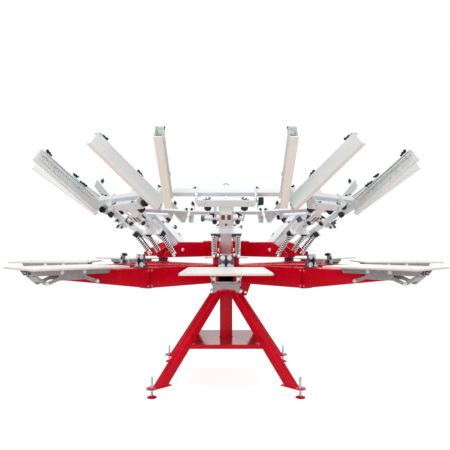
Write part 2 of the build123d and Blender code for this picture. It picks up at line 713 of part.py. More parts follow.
with BuildPart() as registration_lever:
    with BuildSketch(Plane.XZ):
        with BuildLine():
            Polyline(
                (gate_plate_x, ARM_TOP + ROLLER_LOWER - LEVER_LIP),
                (gate_plate_x + LEVER_REACH, ARM_TOP + ROLLER_LOWER),
                (gate_plate_x + LEVER_REACH, ARM_TOP + ROLLER_UPPER - LEVER_LIP),
                (gate_plate_x, ARM_TOP + ROLLER_UPPER + LEVER_LIP),
                close=True,
            )
        make_face()
    extrude(amount=LEVER_WIDTH / 2, both=True)
save("registration_levers", on_stations(registration_lever.part))

# ---------------------------------------------------------------- upper carousel

with BuildPart() as upper_hub:
    with BuildSketch(Plane.XY.offset(CHEEK_BOTTOM)):
        RegularPolygon(UPPER_HUB_APOTHEM, STATIONS, major_radius=False, rotation=180 / STATIONS)
        RegularPolygon(
            UPPER_HUB_APOTHEM - UPPER_HUB_WALL,
            STATIONS,
            major_radius=False,
            rotation=180 / STATIONS,
            mode=Mode.SUBTRACT,
        )
    extrude(amount=CHEEK_HEIGHT)
    with BuildSketch(Plane.XY.offset(CHEEK_BOTTOM)):
        RegularPolygon(UPPER_HUB_APOTHEM, STATIONS, major_radius=False, rotation=180 / STATIONS)
    extrude(amount=UPPER_HUB_WALL)
    with BuildSketch(Plane.XY.offset(CHEEK_TOP)):
        RegularPolygon(CAP_PLATE_APOTHEM, STATIONS, major_radius=False, rotation=180 / STATIONS)
    extrude(amount=CAP_PLATE_T)
    with BuildSketch(Plane.XY.offset(CHEEK_BOTTOM)):
        Circle(HUB_SLEEVE)
    extrude(amount=CHEEK_HEIGHT)
    with BuildSketch(Plane.XY.offset(CHEEK_BOTTOM)):
        Circle(SHAFT_RADIUS + RUNNING_CLEARANCE)
    extrude(amount=CHEEK_HEIGHT + CAP_PLATE_T, mode=Mode.SUBTRACT)
save("upper_hub", upper_hub.part)

cheek_middle = CHEEK_GAP / 2 + CHEEK_T / 2
with BuildPart() as head_cheeks:
    for side in (-1, 1):
        with BuildSketch(Plane.XZ.offset(side * cheek_middle)) as cheek_outline:
            with BuildLine():
                Polyline(
                    (UPPER_HUB_APOTHEM, CHEEK_BOTTOM),
                    (UPPER_HUB_APOTHEM, CHEEK_TOP),
                    (CHEEK_SHOULDER_RADIUS, CHEEK_TOP),
                    (CHEEK_NOSE_RADIUS, CHEEK_BOTTOM + CHEEK_NOSE_HEIGHT),
                    (CHEEK_NOSE_RADIUS, CHEEK_BOTTOM),
                    close=True,
                )
            make_face()
            fillet(cheek_outline.vertices().group_by(Axis.X)[-1], 10)
            with Locations((PIVOT_RADIUS, PIVOT_Z), (SPRING_BOLT_RADIUS, SPRING_BOLT_Z)):
                Circle(BOLT_RADIUS + RUNNING_CLEARANCE, mode=Mode.SUBTRACT)
        extrude(amount=CHEEK_T / 2, both=True)
save("head_cheeks", on_stations(head_cheeks.part))

cheek_outside = CHEEK_GAP / 2 + CHEEK_T
with BuildPart() as pivot_bolt:
    with BuildSketch(Plane.XZ.offset(-cheek_outside)):
        with Locations((PIVOT_RADIUS, PIVOT_Z)):
            Circle(BOLT_RADIUS)
    extrude(amount=2 * cheek_outside)
    for side in (-1, 1):
        with BuildSketch(Plane.XZ.offset(side * cheek_outside)):
            with Locations((PIVOT_RADIUS, PIVOT_Z)):
                RegularPolygon(BOLT_HEAD, 6, major_radius=False)
        extrude(amount=side * BOLT_HEAD * 0.8)
save("pivot_bolts", on_stations(pivot_bolt.part))

# Spring seats: the axis runs from the spring bolt up to the plate on the raised head.
spring_foot = Vector(SPRING_BOLT_RADIUS, 0, SPRING_BOLT_Z)
raise_angle = radians(HEAD_RAISE)
spring_head = Vector(
    PIVOT_RADIUS + SPRING_PLATE_X * cos(raise_angle) - SPRING_TOP_Z * sin(raise_angle),
    0,
    PIVOT_Z + SPRING_PLATE_X * sin(raise_angle) + SPRING_TOP_Z * cos(raise_angle),
)
spring_axis = (spring_head - spring_foot).normalized()
spring_length = (spring_head - spring_foot).length


def spring_plane(side, distance):
    """Plane across a spring's axis, at a distance from the spring bolt."""
    foot = spring_foot + spring_axis * distance
    return Plane(origin=(foot.X, side * SPRING_SIDE, foot.Z), x_dir=(0, 1, 0), z_dir=spring_axis)


with BuildPart() as spring_bolt:
    bolt_half = SPRING_SIDE + SPRING_OUTER
    with BuildSketch(Plane.XZ.offset(-bolt_half)):
        with Locations((SPRING_BOLT_RADIUS, SPRING_BOLT_Z)):
            Circle(BOLT_RADIUS)
    extrude(amount=2 * bolt_half)
    for side in (-1, 1):
        with BuildSketch(spring_plane(side, -SPRING_CUP / 4)):
            Circle(SPRING_OUTER)
        extrude(amount=SPRING_CUP * 1.25)
save("spring_bolts", on_stations(spring_bolt.part))

with BuildPart() as head_spring:
    for side in (-1, 1):
        with BuildSketch(spring_plane(side, SPRING_CUP)):
            Circle(SPRING_OUTER)
            Circle(SPRING_INNER, mode=Mode.SUBTRACT)
        extrude(amount=spring_length - SPRING_CUP - SPRING_CAP_LENGTH - SPRING_OUTER / 3)
save("head_springs", on_stations(head_spring.part))

# ---------------------------------------------------------------- print head, head frame

with BuildPart() as head_arm:
    with BuildSketch(Plane.YZ.offset(-HEAD_ARM_TAIL)) as arm_section:
        Rectangle(HEAD_ARM_WIDTH, HEAD_ARM_DEPTH)
        fillet(arm_section.vertices(), 4)
    extrude(amount=HEAD_ARM_LENGTH + HEAD_ARM_TAIL)
    with BuildSketch(Plane.XY.offset(SOLE_BOTTOM)):
        with Locations((SOLE_START, 0)):
            Rectangle(
                HEAD_ARM_LENGTH - SOLE_START, SOLE_WIDTH, align=(Align.MIN, Align.CENTER)
            )
    extrude(amount=SOLE_T)
    with BuildSketch(Plane.XZ.offset(-CHEEK_GAP / 2 + RUNNING_CLEARANCE)):
        Circle(2 * BOLT_RADIUS)
    extrude(amount=CHEEK_GAP - 2 * RUNNING_CLEARANCE)
    with BuildSketch(Plane.YZ.offset(HEAD_ARM_BLOCK)):
        Rectangle(HEAD_ARM_WIDTH - 2 * HEAD_ARM_WALL, HEAD_ARM_DEPTH - 2 * HEAD_ARM_WALL)
    extrude(amount=HEAD_ARM_LENGTH, mode=Mode.SUBTRACT)
    with BuildSketch(Plane.XY.offset(SOLE_BOTTOM)):
        with Locations((WINDOW_X, 0)):
            for side in (-1, 1):
                with Locations((0, side * (WINDOW_WEB + WINDOW_WIDTH) / 2)):
                    Rectangle(WINDOW_LENGTH, WINDOW_WIDTH, align=(Align.MIN, Align.CENTER))
    extrude(amount=HEAD_ARM_DEPTH + SOLE_T, mode=Mode.SUBTRACT)
    with BuildSketch(Plane.XZ.offset(-CHEEK_GAP / 2)):
        Circle(BOLT_RADIUS + RUNNING_CLEARANCE)
    extrude(amount=CHEEK_GAP, mode=Mode.SUBTRACT)

# Cross plate welded under the sole and notched round the arm.
with BuildPart() as spring_plate:
    with BuildSketch(Plane.YZ.offset(SPRING_PLATE_X)):
        with Locations((0, SPRING_PLATE_TOP)):
            Rectangle(
                2 * (SPRING_SIDE + SPRING_CAP_RADIUS),
                SPRING_PLATE_DROP,
                align=(Align.CENTER, Align.MAX),
            )
        with Locations((0, SOLE_BOTTOM)):
            Rectangle(
                SOLE_WIDTH,
                HEAD_ARM_DEPTH,
                align=(Align.CENTER, Align.MIN),
                mode=Mode.SUBTRACT,
            )
    extrude(amount=SPRING_PLATE_T)

with BuildPart() as yoke:
    with BuildSketch(Plane.XZ.offset(YOKE_HALF)):
        with Locations((YOKE_X, YOKE_BOTTOM)):
            Rectangle(YOKE_LENGTH, YOKE_DEPTH, align=Align.MIN)
    extrude(amount=-2 * YOKE_HALF)
    for side in (-1, 1):
        with BuildSketch(Plane.XZ.offset(-side * YOKE_HALF)) as end_face:
            with Locations((BAR_X, END_PLATE_BOTTOM)):
                Rectangle(
                    END_PLATE_LENGTH,
                    END_PLATE_TOP - END_PLATE_BOTTOM,
                    align=(Align.CENTER, Align.MIN),
                )
            fillet(end_face.vertices(), 8)
        extrude(amount=-side * END_PLATE_T)
    with BuildSketch(Plane.XZ.offset(YOKE_HALF + END_PLATE_T)):
        with Locations((BAR_X, BAR_Z)):
            Rectangle(BAR_SIZE + 2 * BAR_CLEARANCE, BAR_SIZE + 2 * BAR_CLEARANCE)
    extrude(amount=-2 * (YOKE_HALF + END_PLATE_T), mode=Mode.SUBTRACT)
    with BuildSketch(Plane.YZ.offset(YOKE_X)):
        for side in (-1, 1):
            with Locations((side * SCREW_SIDE, SCREW_Z)):
                Circle(MICRO_SCREW + RUNNING_CLEARANCE)
    extrude(amount=YOKE_LENGTH, mode=Mode.SUBTRACT)

with BuildPart() as crossbar:
    with BuildSketch(Plane.XZ.offset(BAR_HALF)):
        with Locations((BAR_X, BAR_Z)):
            Rectangle(BAR_SIZE, BAR_SIZE)
            Rectangle(BAR_SIZE - 2 * BAR_WALL, BAR_SIZE - 2 * BAR_WALL, mode=Mode.SUBTRACT)
    extrude(amount=-2 * BAR_HALF)
    with BuildSketch(Plane.YZ.offset(BAR_X - BAIL_T / 2)):
        with Locations((0, BAR_Z + BAR_SIZE / 2)):
            SlotCenterToCenter(
                2 * (BAIL_HEIGHT - BAIL_WIDTH / 2), BAIL_WIDTH, rotation=90
            )
            SlotCenterToCenter(
                2 * (BAIL_HEIGHT - BAIL_WIDTH / 2),
                BAIL_WIDTH - 2 * BAIL_RIM,
                rotation=90,
                mode=Mode.SUBTRACT,
            )
            Rectangle(BAIL_WIDTH, BAIL_HEIGHT, align=(Align.CENTER, Align.MAX), mode=Mode.SUBTRACT)
    extrude(amount=BAIL_T)

with BuildPart() as registration_bar:
    with BuildSketch(Plane.XZ.offset(REG_BAR_LEFT)) as bar_section:
        with Locations((REG_BAR_X, SOLE_BOTTOM)):
            Rectangle(REG_BAR_LENGTH, REG_BAR_DEPTH, align=(Align.MIN, Align.MAX))
        chamfer(bar_section.vertices().group_by(Axis.Y)[0], 3)
    extrude(amount=-(REG_BAR_LEFT + REG_BAR_RIGHT))
    with BuildSketch(Plane.YZ.offset(REG_BAR_X)) as lugs:
        for side in (-1, 1):
            with Locations((side * REG_KNOB_SIDE, SOLE_BOTTOM)):
                Rectangle(
                    REG_LUG_WIDTH, REG_BAR_DEPTH + REG_LUG_DROP, align=(Align.CENTER, Align.MAX)
                )
        fillet(lugs.vertices().group_by(Axis.Y)[0], REG_LUG_WIDTH / 3)
    extrude(amount=REG_LUG_T)


def side_clamp(side):
    """Channel, crossbar carriage and pressure strip of one side clamp."""
    with BuildPart() as channel:
        with BuildSketch(Plane.YZ.offset(CLAMP_X)):
            with Locations((side * CLAMP_INNER, CLAMP_BOTTOM)):
                Rectangle(
                    CLAMP_WIDTH,
                    CLAMP_TOP - CLAMP_BOTTOM,
                    align=(Align.MIN if side > 0 else Align.MAX, Align.MIN),
                )
            with Locations((side * CLAMP_INNER, CLAMP_BOTTOM + CLAMP_WALL)):
                Rectangle(
                    CLAMP_WIDTH - CLAMP_WALL,
                    CLAMP_TOP - CLAMP_BOTTOM - 2 * CLAMP_WALL,
                    align=(Align.MIN if side > 0 else Align.MAX, Align.MIN),
                    mode=Mode.SUBTRACT,
                )
            with Locations((side * CLAMP_INNER, CLAMP_BOTTOM)):
                Rectangle(
                    CLAMP_WALL,
                    CLAMP_LIP,
                    align=(Align.MIN if side > 0 else Align.MAX, Align.MIN),
                )
        extrude(amount=CLAMP_LENGTH)
        with BuildSketch(Plane.XZ.offset(-side * CLAMP_INNER)):
            with Locations((BAR_X, CLAMP_TOP)):
                Rectangle(
                    BAR_SIZE + 2 * CARRIAGE_WALL,
                    BAR_Z + BAR_SIZE / 2 + CARRIAGE_WALL - CLAMP_TOP,
                    align=(Align.CENTER, Align.MIN),
                )
            with Locations((BAR_X, BAR_Z)):
                opening = BAR_SIZE + 2 * BAR_CLEARANCE
                Rectangle(opening, opening, mode=Mode.SUBTRACT)
        extrude(amount=-side * CARRIAGE_WIDTH)
        with BuildSketch(Plane.XY.offset(CLAMP_TOP - CLAMP_WALL)):
            for screw_x in CLAMP_SCREW_X:
                with Locations((screw_x, side * (CLAMP_INNER + STRIP_WIDTH / 2))):
                    Circle(CLAMP_SCREW_RADIUS + THREAD_CLEARANCE)
        extrude(amount=CLAMP_WALL, mode=Mode.SUBTRACT)
    return channel.part


def pressure_strip(side):
    """Loose strip inside the channel that the wing screws press on the screen frame."""
    with BuildPart() as strip:
        with BuildSketch(Plane.XY.offset(CLAMP_TOP - CLAMP_WALL - STRIP_DROP - STRIP_T)):
            with Locations((STRIP_START, side * (CLAMP_INNER + STRIP_WIDTH / 2))):
                Rectangle(STRIP_LENGTH, STRIP_WIDTH, align=(Align.MIN, Align.CENTER))
        extrude(amount=STRIP_T)
    return strip.part


def wing_screws(side):
    """Two wing screws on top of one clamp channel, down to the pressure strip."""
    with BuildPart() as wings:
        for screw_x in CLAMP_SCREW_X:
            centre = (screw_x, side * (CLAMP_INNER + STRIP_WIDTH / 2))
            with BuildSketch(Plane.XY.offset(CLAMP_TOP - CLAMP_WALL - STRIP_DROP)):
                with Locations(centre):
                    Circle(CLAMP_SCREW_RADIUS)
            extrude(amount=CLAMP_WALL + STRIP_DROP)
            with BuildSketch(Plane.XY.offset(CLAMP_TOP)):
                with Locations(centre):
                    RegularPolygon(WING_BOSS, 8)
            extrude(amount=WING_HEIGHT / 2)
            with BuildSketch(Plane.XY.offset(CLAMP_TOP + WING_HEIGHT / 2)):
                with Locations(centre):
                    SlotOverall(WING_LENGTH, WING_T)
            extrude(amount=WING_HEIGHT)
    return wings.part


def carriage_knob(side):
    """Screw knob that locks a clamp's carriage on the crossbar."""
    with BuildPart() as knob:
        with BuildSketch(Plane.XY.offset(BAR_Z + BAR_SIZE / 2 + CARRIAGE_WALL)):
            with Locations((BAR_X, side * (CLAMP_INNER + CARRIAGE_WIDTH / 2))):
                RegularPolygon(13, 10)
        extrude(amount=15)
    return knob.part


def micro_screw(side):
    """Adjusting screw through the yoke with its knob behind it."""
    with BuildPart() as screw:
        with BuildSketch(Plane.YZ.offset(MICRO_KNOB_X)):
            with Locations((side * SCREW_SIDE, SCREW_Z)):
                Circle(MICRO_KNOB_RADIUS)
        extrude(amount=MICRO_KNOB_LENGTH)
        with BuildSketch(Plane.YZ.offset(MICRO_KNOB_X + MICRO_KNOB_LENGTH)):
            with Locations((side * SCREW_SIDE, SCREW_Z)):
                Circle(MICRO_SCREW)
        extrude(amount=YOKE_X + YOKE_LENGTH + SCREW_TAIL - MICRO_KNOB_X - MICRO_KNOB_LENGTH)
    return screw.part


side_knob_start = YOKE_HALF + END_PLATE_T
with BuildPart() as side_knob:
    with BuildSketch(Plane.XZ.offset(-side_knob_start)):
        with Locations((SIDE_KNOB_X, SCREW_Z)):
            Circle(MICRO_SCREW)
    extrude(amount=-SIDE_KNOB_GAP)
    with BuildSketch(Plane.XZ.offset(-side_knob_start - SIDE_KNOB_GAP)):
        with Locations((SIDE_KNOB_X, SCREW_Z)):
            Circle(SIDE_KNOB_RADIUS)
    extrude(amount=-SIDE_KNOB_LENGTH)

reg_middle_z = SOLE_BOTTOM - REG_BAR_DEPTH / 2
with BuildPart() as registration_knobs:
    for side in (-1, 1):
        with BuildSketch(Plane.YZ.offset(REG_BAR_X + REG_LUG_T)):
            with Locations((side * REG_KNOB_SIDE, REG_KNOB_Z)):
                Circle(REG_KNOB_RADIUS)
        extrude(amount=REG_KNOB_LENGTH)
        with BuildSketch(Plane.YZ.offset(REG_BAR_X + REG_BAR_LENGTH)):
            with Locations((side * TEE_SIDE, reg_middle_z)):
                Circle(TEE_STEM)
        extrude(amount=TEE_STEM_LENGTH)
        with BuildSketch(Plane.YZ.offset(REG_BAR_X + REG_BAR_LENGTH + TEE_STEM_LENGTH)):
            with Locations((side * TEE_SIDE, reg_middle_z)):
                SlotOverall(TEE_BAR_LENGTH, 2 * TEE_BAR)
        extrude(amount=2 * TEE_BAR)

with BuildPart() as spring_caps:
    for side in (-1, 1):
        with BuildSketch(Plane.YZ.offset(SPRING_PLATE_X)):
            with Locations((side * SPRING_SIDE, SPRING_TOP_Z)):
                Circle(SPRING_CAP_RADIUS)
        extrude(amount=-SPRING_CAP_LENGTH)

# ---------------------------------------------------------------- the first head, piece by piece

save("head_1_arm", on_head(0, head_arm.part, spring_plate.part))
save("head_1_yoke", on_head(0, yoke.part))
save("head_1_crossbar", on_head(0, crossbar.part))
save("head_1_registration_bar", on_head(0, registration_bar.part))
save("head_1_clamp_left", on_head(0, side_clamp(-1), pressure_strip(-1)))
save("head_1_clamp_right", on_head(0, side_clamp(1), pressure_strip(1)))
save("head_1_wing_screws_left", on_head(0, wing_screws(-1), carriage_knob(-1)))
save("head_1_wing_screws_right", on_head(0, wing_screws(1), carriage_knob(1)))
save("head_1_knobs", on_head(0, registration_knobs.part, spring_caps.part))
save("head_1_micro_screw_left", on_head(0, micro_screw(-1)))
save("head_1_micro_screw_right", on_head(0, micro_screw(1)))
save("head_1_side_knob", on_head(0, side_knob.part))

# ---------------------------------------------------------------- the other heads

clamp_pieces = (side_clamp(-1), side_clamp(1), pressure_strip(-1), pressure_strip(1))
knob_pieces = (
    wing_screws(-1),
    wing_screws(1),
    carriage_knob(-1),
    carriage_knob(1),
    micro_screw(-1),
    micro_screw(1),
    side_knob.part,
    registration_knobs.part,
    spring_caps.part,
)
for station in range(1, STATIONS):
    name = f"head_{station + 1}"
    frame_pieces = Compound(
        [
            shape.moved(head_seat(station))
            for piece in (head_arm, spring_plate, yoke, crossbar, registration_bar)
            for shape in piece.part.solids()
        ]
    )
    save(f"{name}_frame", frame_pieces)
    save(f"{name}_clamps", on_head(station, *clamp_pieces))
    save(f"{name}_knobs", on_head(station, *knob_pieces))
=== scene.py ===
from math import cos, pi, radians, sin, tan

import bpy
import numpy as np
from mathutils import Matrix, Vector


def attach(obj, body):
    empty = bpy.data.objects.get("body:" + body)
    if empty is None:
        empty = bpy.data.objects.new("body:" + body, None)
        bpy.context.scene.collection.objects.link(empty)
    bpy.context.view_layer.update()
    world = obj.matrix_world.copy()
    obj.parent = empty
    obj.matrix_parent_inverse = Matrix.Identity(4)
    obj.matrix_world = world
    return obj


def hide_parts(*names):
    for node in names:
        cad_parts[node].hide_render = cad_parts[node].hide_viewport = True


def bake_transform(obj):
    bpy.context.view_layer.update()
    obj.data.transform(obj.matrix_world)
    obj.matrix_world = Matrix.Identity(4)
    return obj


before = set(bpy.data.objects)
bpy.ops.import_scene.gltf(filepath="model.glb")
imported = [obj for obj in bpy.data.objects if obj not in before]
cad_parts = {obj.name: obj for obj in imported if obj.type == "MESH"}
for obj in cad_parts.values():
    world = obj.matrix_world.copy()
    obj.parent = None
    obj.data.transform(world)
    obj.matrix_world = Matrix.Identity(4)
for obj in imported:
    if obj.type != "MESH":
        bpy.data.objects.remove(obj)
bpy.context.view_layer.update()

# Garment printing press with two carousels on one shaft.  Lengths are in millimetres in the
# machine frame: +Z up, the shaft on the Z axis, the first station at the front (-Y).

# ---- Camera, floor and lamps ----
# The machine stands on a pale seamless floor that runs into a white surround and throws a warm
# tone back on it.  Four soft lamps stand to the front left and right, overhead and behind.
scene = bpy.context.scene
scene.view_settings.view_transform = "Standard"


def add(name, data):
    """An object of the data, in the scene."""
    made = bpy.data.objects.new(name, data)
    scene.collection.objects.link(made)
    return made


PICTURE, FOCAL, SHIFT = 450, 480, (-1.1, 19)     # in pixels
EYE = (0, -3.55, 0.985)
camera_data = bpy.data.cameras.new("camera")
camera_data.sensor_width = 36
camera_data.lens = FOCAL / PICTURE * camera_data.sensor_width
camera_data.shift_x, camera_data.shift_y = (shift / PICTURE for shift in SHIFT)
camera_data.clip_end = 200
scene.camera = add("camera", camera_data)
scene.camera.location, scene.camera.rotation_euler = EYE, (pi / 2, 0, 0)


class Signal:
    """A socket of a shader's nodes; sums, differences and products add the Math nodes."""

    def __init__(self, shader, socket):
        self.shader, self.socket = shader, socket

    def maths(self, operation, *values):
        values = {i: value for i, value in enumerate((self,) + values)}
        return self.shader.node("Math", values, operation=operation)

    def __add__(self, other):
        return self.maths("ADD", other)

    def __mul__(self, other):
        return self.maths("MULTIPLY", other)

    def __rsub__(self, other):
        return self.maths("MULTIPLY_ADD", -1, other)

    __radd__, __rmul__ = __add__, __mul__

    def above(self, low, high):
        """0 below low, 1 above high, and a smooth step between them."""
        step = {"interpolation_type": "SMOOTHSTEP", "clamp": True}
        return self.shader.node("MapRange", {0: self, 1: low, 2: high}, **step)


class Shader:
    """The nodes of a material or a world: node() places one, feed() sets or links a socket."""

    def __init__(self, owner):
        owner.use_nodes = True
        self.tree = owner.node_tree
        self.nodes = self.tree.nodes

    def node(self, kind, sockets=None, output=0, **settings):
        made = self.nodes.new("ShaderNode" + kind)
        for setting, value in settings.items():
            setattr(made, setting, value)
        for socket, value in (sockets or {}).items():
            self.feed(made.inputs[socket], value)
        return Signal(self, made.outputs[output])

    def feed(self, socket, value):
        if isinstance(value, Signal):
            self.tree.links.new(value.socket, socket)
        else:
            socket.default_value = value

    def in_view(self):
        """1 for rays from the camera or off a mirror, 0 for light that bounces."""
        seen = self.node("LightPath", output="Is Camera Ray")
        return seen.maths("MAXIMUM", self.node("LightPath", output="Is Glossy Ray"))


class Finish(Shader):
    """A material with its slot, which has the material's name unless another is given."""

    def __init__(self, name, colour, roughness, slot="", **sockets):
        self.material = bpy.data.materials.new(name)
        super().__init__(self.material)
        self.slot = slot or name
        self.surface = self.nodes["Principled BSDF"]
        self.material.diffuse_color = (*colour, 1)
        self.paint(**{"Base Color": (*colour, 1), "Roughness": roughness, **sockets})

    def paint(self, **sockets):
        for socket, value in sockets.items():
            self.feed(self.surface.inputs[socket], value)

    def place(self, own=False):
        """Coordinates on the object, or the ones a piece was first drawn in."""
        if own:
            return self.node("Attribute", output="Vector", attribute_name="own")
        return self.node("TexCoord", output="Object")

    def stretched(self, place, scale):
        return self.node("Mapping", {"Vector": place, "Scale": scale})

    def noise(self, scale, detail=2, roughness=0.5, place=None):
        sockets = {"Scale": scale, "Detail": detail, "Roughness": roughness}
        sockets["Vector"] = place or self.place()
        return self.node("TexNoise", sockets, output="Fac")

    def blend(self, share, first, second):
        colours = {
            "Factor": share,
            6: first if isinstance(first, Signal) else (*first, 1),
            7: second if isinstance(second, Signal) else (*second, 1),
        }
        return self.node("Mix", colours, 2, data_type="RGBA")

    def coat(self, colour, roughness, height, depth):
        """Colour and roughness from the nodes, and a bump of the depth in metres."""
        bump = self.node("Bump", {"Height": height, "Distance": depth})
        self.paint(**{"Base Color": colour, "Roughness": roughness, "Normal": bump})


WHITE = (1, 1, 1, 1)
FLOOR_COLOUR, FLOOR_REACH = (0.68, 0.61, 0.53), 60.0
SHEET, GLOW, SURROUND = (0.45, 0.45, 0.45, 1), 0.83, 0.38
floor_finish = Finish("pale_floor", FLOOR_COLOUR, 0.8)
plain = Signal(floor_finish, floor_finish.surface.outputs[0])
sheet = floor_finish.node("BsdfDiffuse", {"Color": SHEET})
glow = floor_finish.node("Emission", {"Color": WHITE, "Strength": GLOW})
lit = floor_finish.node("AddShader", {0: sheet, 1: glow})
shown = floor_finish.node("MixShader", {0: floor_finish.in_view(), 1: plain, 2: lit})
floor_finish.feed(floor_finish.nodes["Material Output"].inputs["Surface"], shown)
floor_finish.material.cycles.emission_sampling = "NONE"

corner = np.array([[-1, -1], [1, -1], [1, 1], [-1, 1]]) * FLOOR_REACH
floor_mesh = bpy.data.meshes.new("floor")
floor_mesh.from_pydata([(x, y, 0.0) for x, y in corner], [], [(0, 1, 2, 3)])
floor_mesh.materials.append(floor_finish.material)
floor = add("floor", floor_mesh)

scene.world = bpy.data.worlds.new("surround")
sky = Shader(scene.world)
background = sky.nodes["Background"]
sky.feed(background.inputs["Color"], WHITE)
level = sky.node("MapRange", {"Value": sky.in_view(), "To Min": SURROUND})
sky.feed(background.inputs["Strength"], level)

MACHINE_MIDDLE = Vector((0, 0, 0.8))


def lamp(name, place, size, power):
    """A square soft lamp aimed at the middle of the machine."""
    data = bpy.data.lights.new(name, "AREA")
    data.size, data.energy = size, power
    made = add(name, data)
    made.location = place
    aim = MACHINE_MIDDLE - made.location
    made.rotation_euler = aim.to_track_quat("-Z", "Y").to_euler()


lamp("front_left", (-2.4, -5.2, 1.9), 2.6, 78)
lamp("front_right", (3.6, -4.4, 1.7), 2.6, 40)
lamp("overhead", (0.2, -0.3, 5.2), 2.8, 122)
lamp("back", (1, 5, 3), 3, 28)

# ---- Legs ----
# Four square steel tubes with rolled corners slope from the feet to the shaft's flange.  They
# are welded to the foot plates and the column, and enamelled gloss red with the whole stand.
MM, WELD_GAP = 0.001, 0.00002
SMOOTH, EDGE_ANGLE = radians(34), radians(35)


class Shape:
    """A closed skin in millimetres: rings of points, each joined to the next by quads.

    The first and last ring are closed flat, or joined to each other when the skin is a loop.
    own keeps the points as first drawn, for patterns that follow the piece.
    """

    def __init__(self, rings, loop=False, own=None):
        self.rings = np.asarray(rings, float)
        self.loop = loop
        self.own = self.rings if own is None else own

    def turned(self, axes, origin=(0, 0, 0)):
        """The shape in another frame: its x, y and z run along the three axes."""
        return Shape(self.rings @ np.asarray(axes, float) + origin, self.loop, self.own)

    def faces(self, first):
        """Corner numbers of the quads between rings and of the two flat ends, facing out.

        The skin's signed volume, the sum of a . (b x c) over its triangles, says which way.
        """
        rows, around = self.rings.shape[:2]
        number = np.arange(rows * around).reshape(rows, around)
        lower, upper = (number, np.roll(number, -1, 0)) if self.loop else (number[:-1], number[1:])
        corners = (lower, np.roll(lower, -1, 1), np.roll(upper, -1, 1), upper)
        quads = np.stack(corners, -1).reshape(-1, 4)
        ends = [] if self.loop else [number[0][::-1], number[-1]]
        points = self.rings.reshape(-1, 3) - self.rings.mean((0, 1))
        a, b, c, d = (points[quads[:, i]] for i in range(4))
        volume = (a * (np.cross(b, c) + np.cross(c, d))).sum()
        for end in ends:
            p = points[end]
            volume += (np.cross(p[1:-1], p[2:]) @ p[0]).sum()
        if volume < 0:
            quads, ends = quads[:, ::-1], [end[::-1] for end in ends]
        return (quads + first).tolist() + [(end + first).tolist() for end in ends]


def build(name, finish, shapes, body, *nodes):
    """One mesh of closed skins, with its finish, its body and the nodes it stands for."""
    faces, first = [], 0
    for shape in shapes:
        faces += shape.faces(first)
        first += shape.rings.shape[0] * shape.rings.shape[1]
    points = np.concatenate([shape.rings.reshape(-1, 3) for shape in shapes]) * MM
    own = np.concatenate([shape.own.reshape(-1, 3) for shape in shapes]) * MM
    mesh = bpy.data.meshes.new(name)
    mesh.from_pydata(points, [], faces)
    drawn = mesh.attributes.new("own", "FLOAT_VECTOR", "POINT")
    drawn.data.foreach_set("vector", own.astype(np.float32).ravel())
    mesh.materials.append(finish.material)
    mesh.shade_smooth()
    mesh.set_sharp_from_angle(angle=SMOOTH)
    piece = add(name, mesh)
    piece.modifiers.new("flat_faces", "WEIGHTED_NORMAL").keep_sharp = True
    if body:
        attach(piece, body)
    if nodes:
        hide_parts(*nodes)
    return piece


def dress(finish, edge, *nodes):
    """A finish and softened edges, in millimetres, on nodes whose own shape is kept."""
    for node in nodes:
        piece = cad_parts[node]
        piece.data.materials.clear()
        piece.data.materials.append(finish.material)
        weld = piece.modifiers.new("weld", "WELD")
        weld.merge_threshold = WELD_GAP
        bevel = piece.modifiers.new("edges", "BEVEL")
        bevel.width, bevel.segments = edge * MM, 2
        bevel.limit_method, bevel.angle_limit = "ANGLE", EDGE_ANGLE


def unit(rows):
    """Each row scaled to length one."""
    return rows / np.linalg.norm(rows, axis=1, keepdims=True)


def rounded(corners, radius, steps=5):
    """Outline with each corner swapped for an arc of the radius, tangent to both its sides.

    The arc's centre is on the corner's bisector, and it starts radius / tan(half angle) away.
    """
    corners = np.asarray(corners, float)
    radius = np.broadcast_to(np.asarray(radius, float), len(corners))
    before = unit(np.roll(corners, 1, 0) - corners)
    after = unit(np.roll(corners, -1, 0) - corners)
    half = np.arccos(np.clip((before * after).sum(1), -1, 1)) / 2
    centre = corners + unit(before + after) * (radius / np.sin(half))[:, None]
    reach = (radius / np.tan(half))[:, None]
    start = corners + before * reach - centre
    end = corners + after * reach - centre
    share = np.linspace(0, 1, steps)[None, :, None]
    sweep = (pi - 2 * half)[:, None, None]
    arc = np.sin((1 - share) * sweep) * start[:, None] + np.sin(share * sweep) * end[:, None]
    return (centre[:, None] + arc / np.sin(sweep)).reshape(-1, 2)


def box_outline(width, depth, radius, steps=5):
    """Rounded rectangle round the origin."""
    w, d = width / 2, depth / 2
    return rounded([(w, -d), (w, d), (-w, d), (-w, -d)], radius, steps)


def circle(count):
    """Angles of the points round a circle."""
    return np.linspace(0, 2 * pi, count, endpoint=False)


def polar(radius, turn, height):
    """Points at the radius and the angle about Z, at the height."""
    return np.stack(np.broadcast_arrays(radius * np.cos(turn), radius * np.sin(turn), height), -1)


def about_z(turn):
    """The x, y and z axes turned about Z."""
    return [(cos(turn), sin(turn), 0), (-sin(turn), cos(turn), 0), (0, 0, 1)]


def around_machine(shapes, headings):
    """The same shapes turned to each heading about the shaft."""
    axes = [about_z(heading) for heading in np.radians(headings)]
    return [shape.turned(each) for each in axes for shape in shapes]


LEG_HEADINGS = (45, 135, 225, 315)
LEG_SIZE, LEG_CORNER = 60, 7
LEG_FOOT = np.array([608.0, 56.0])     # axis at the foot plate: radius, height
LEG_HEAD = np.array([85.0, 640.0])
FOOT_PLATE_TOP, COLUMN_FACE, FLANGE_BOTTOM = 64, 35, 690

leg_run = LEG_HEAD - LEG_FOOT
leg_run /= np.linalg.norm(leg_run)
leg_across = np.array([leg_run[1], -leg_run[0]])
section = box_outline(LEG_SIZE, LEG_SIZE, LEG_CORNER)
edge_lines = LEG_FOOT + section[:, :1] * leg_across


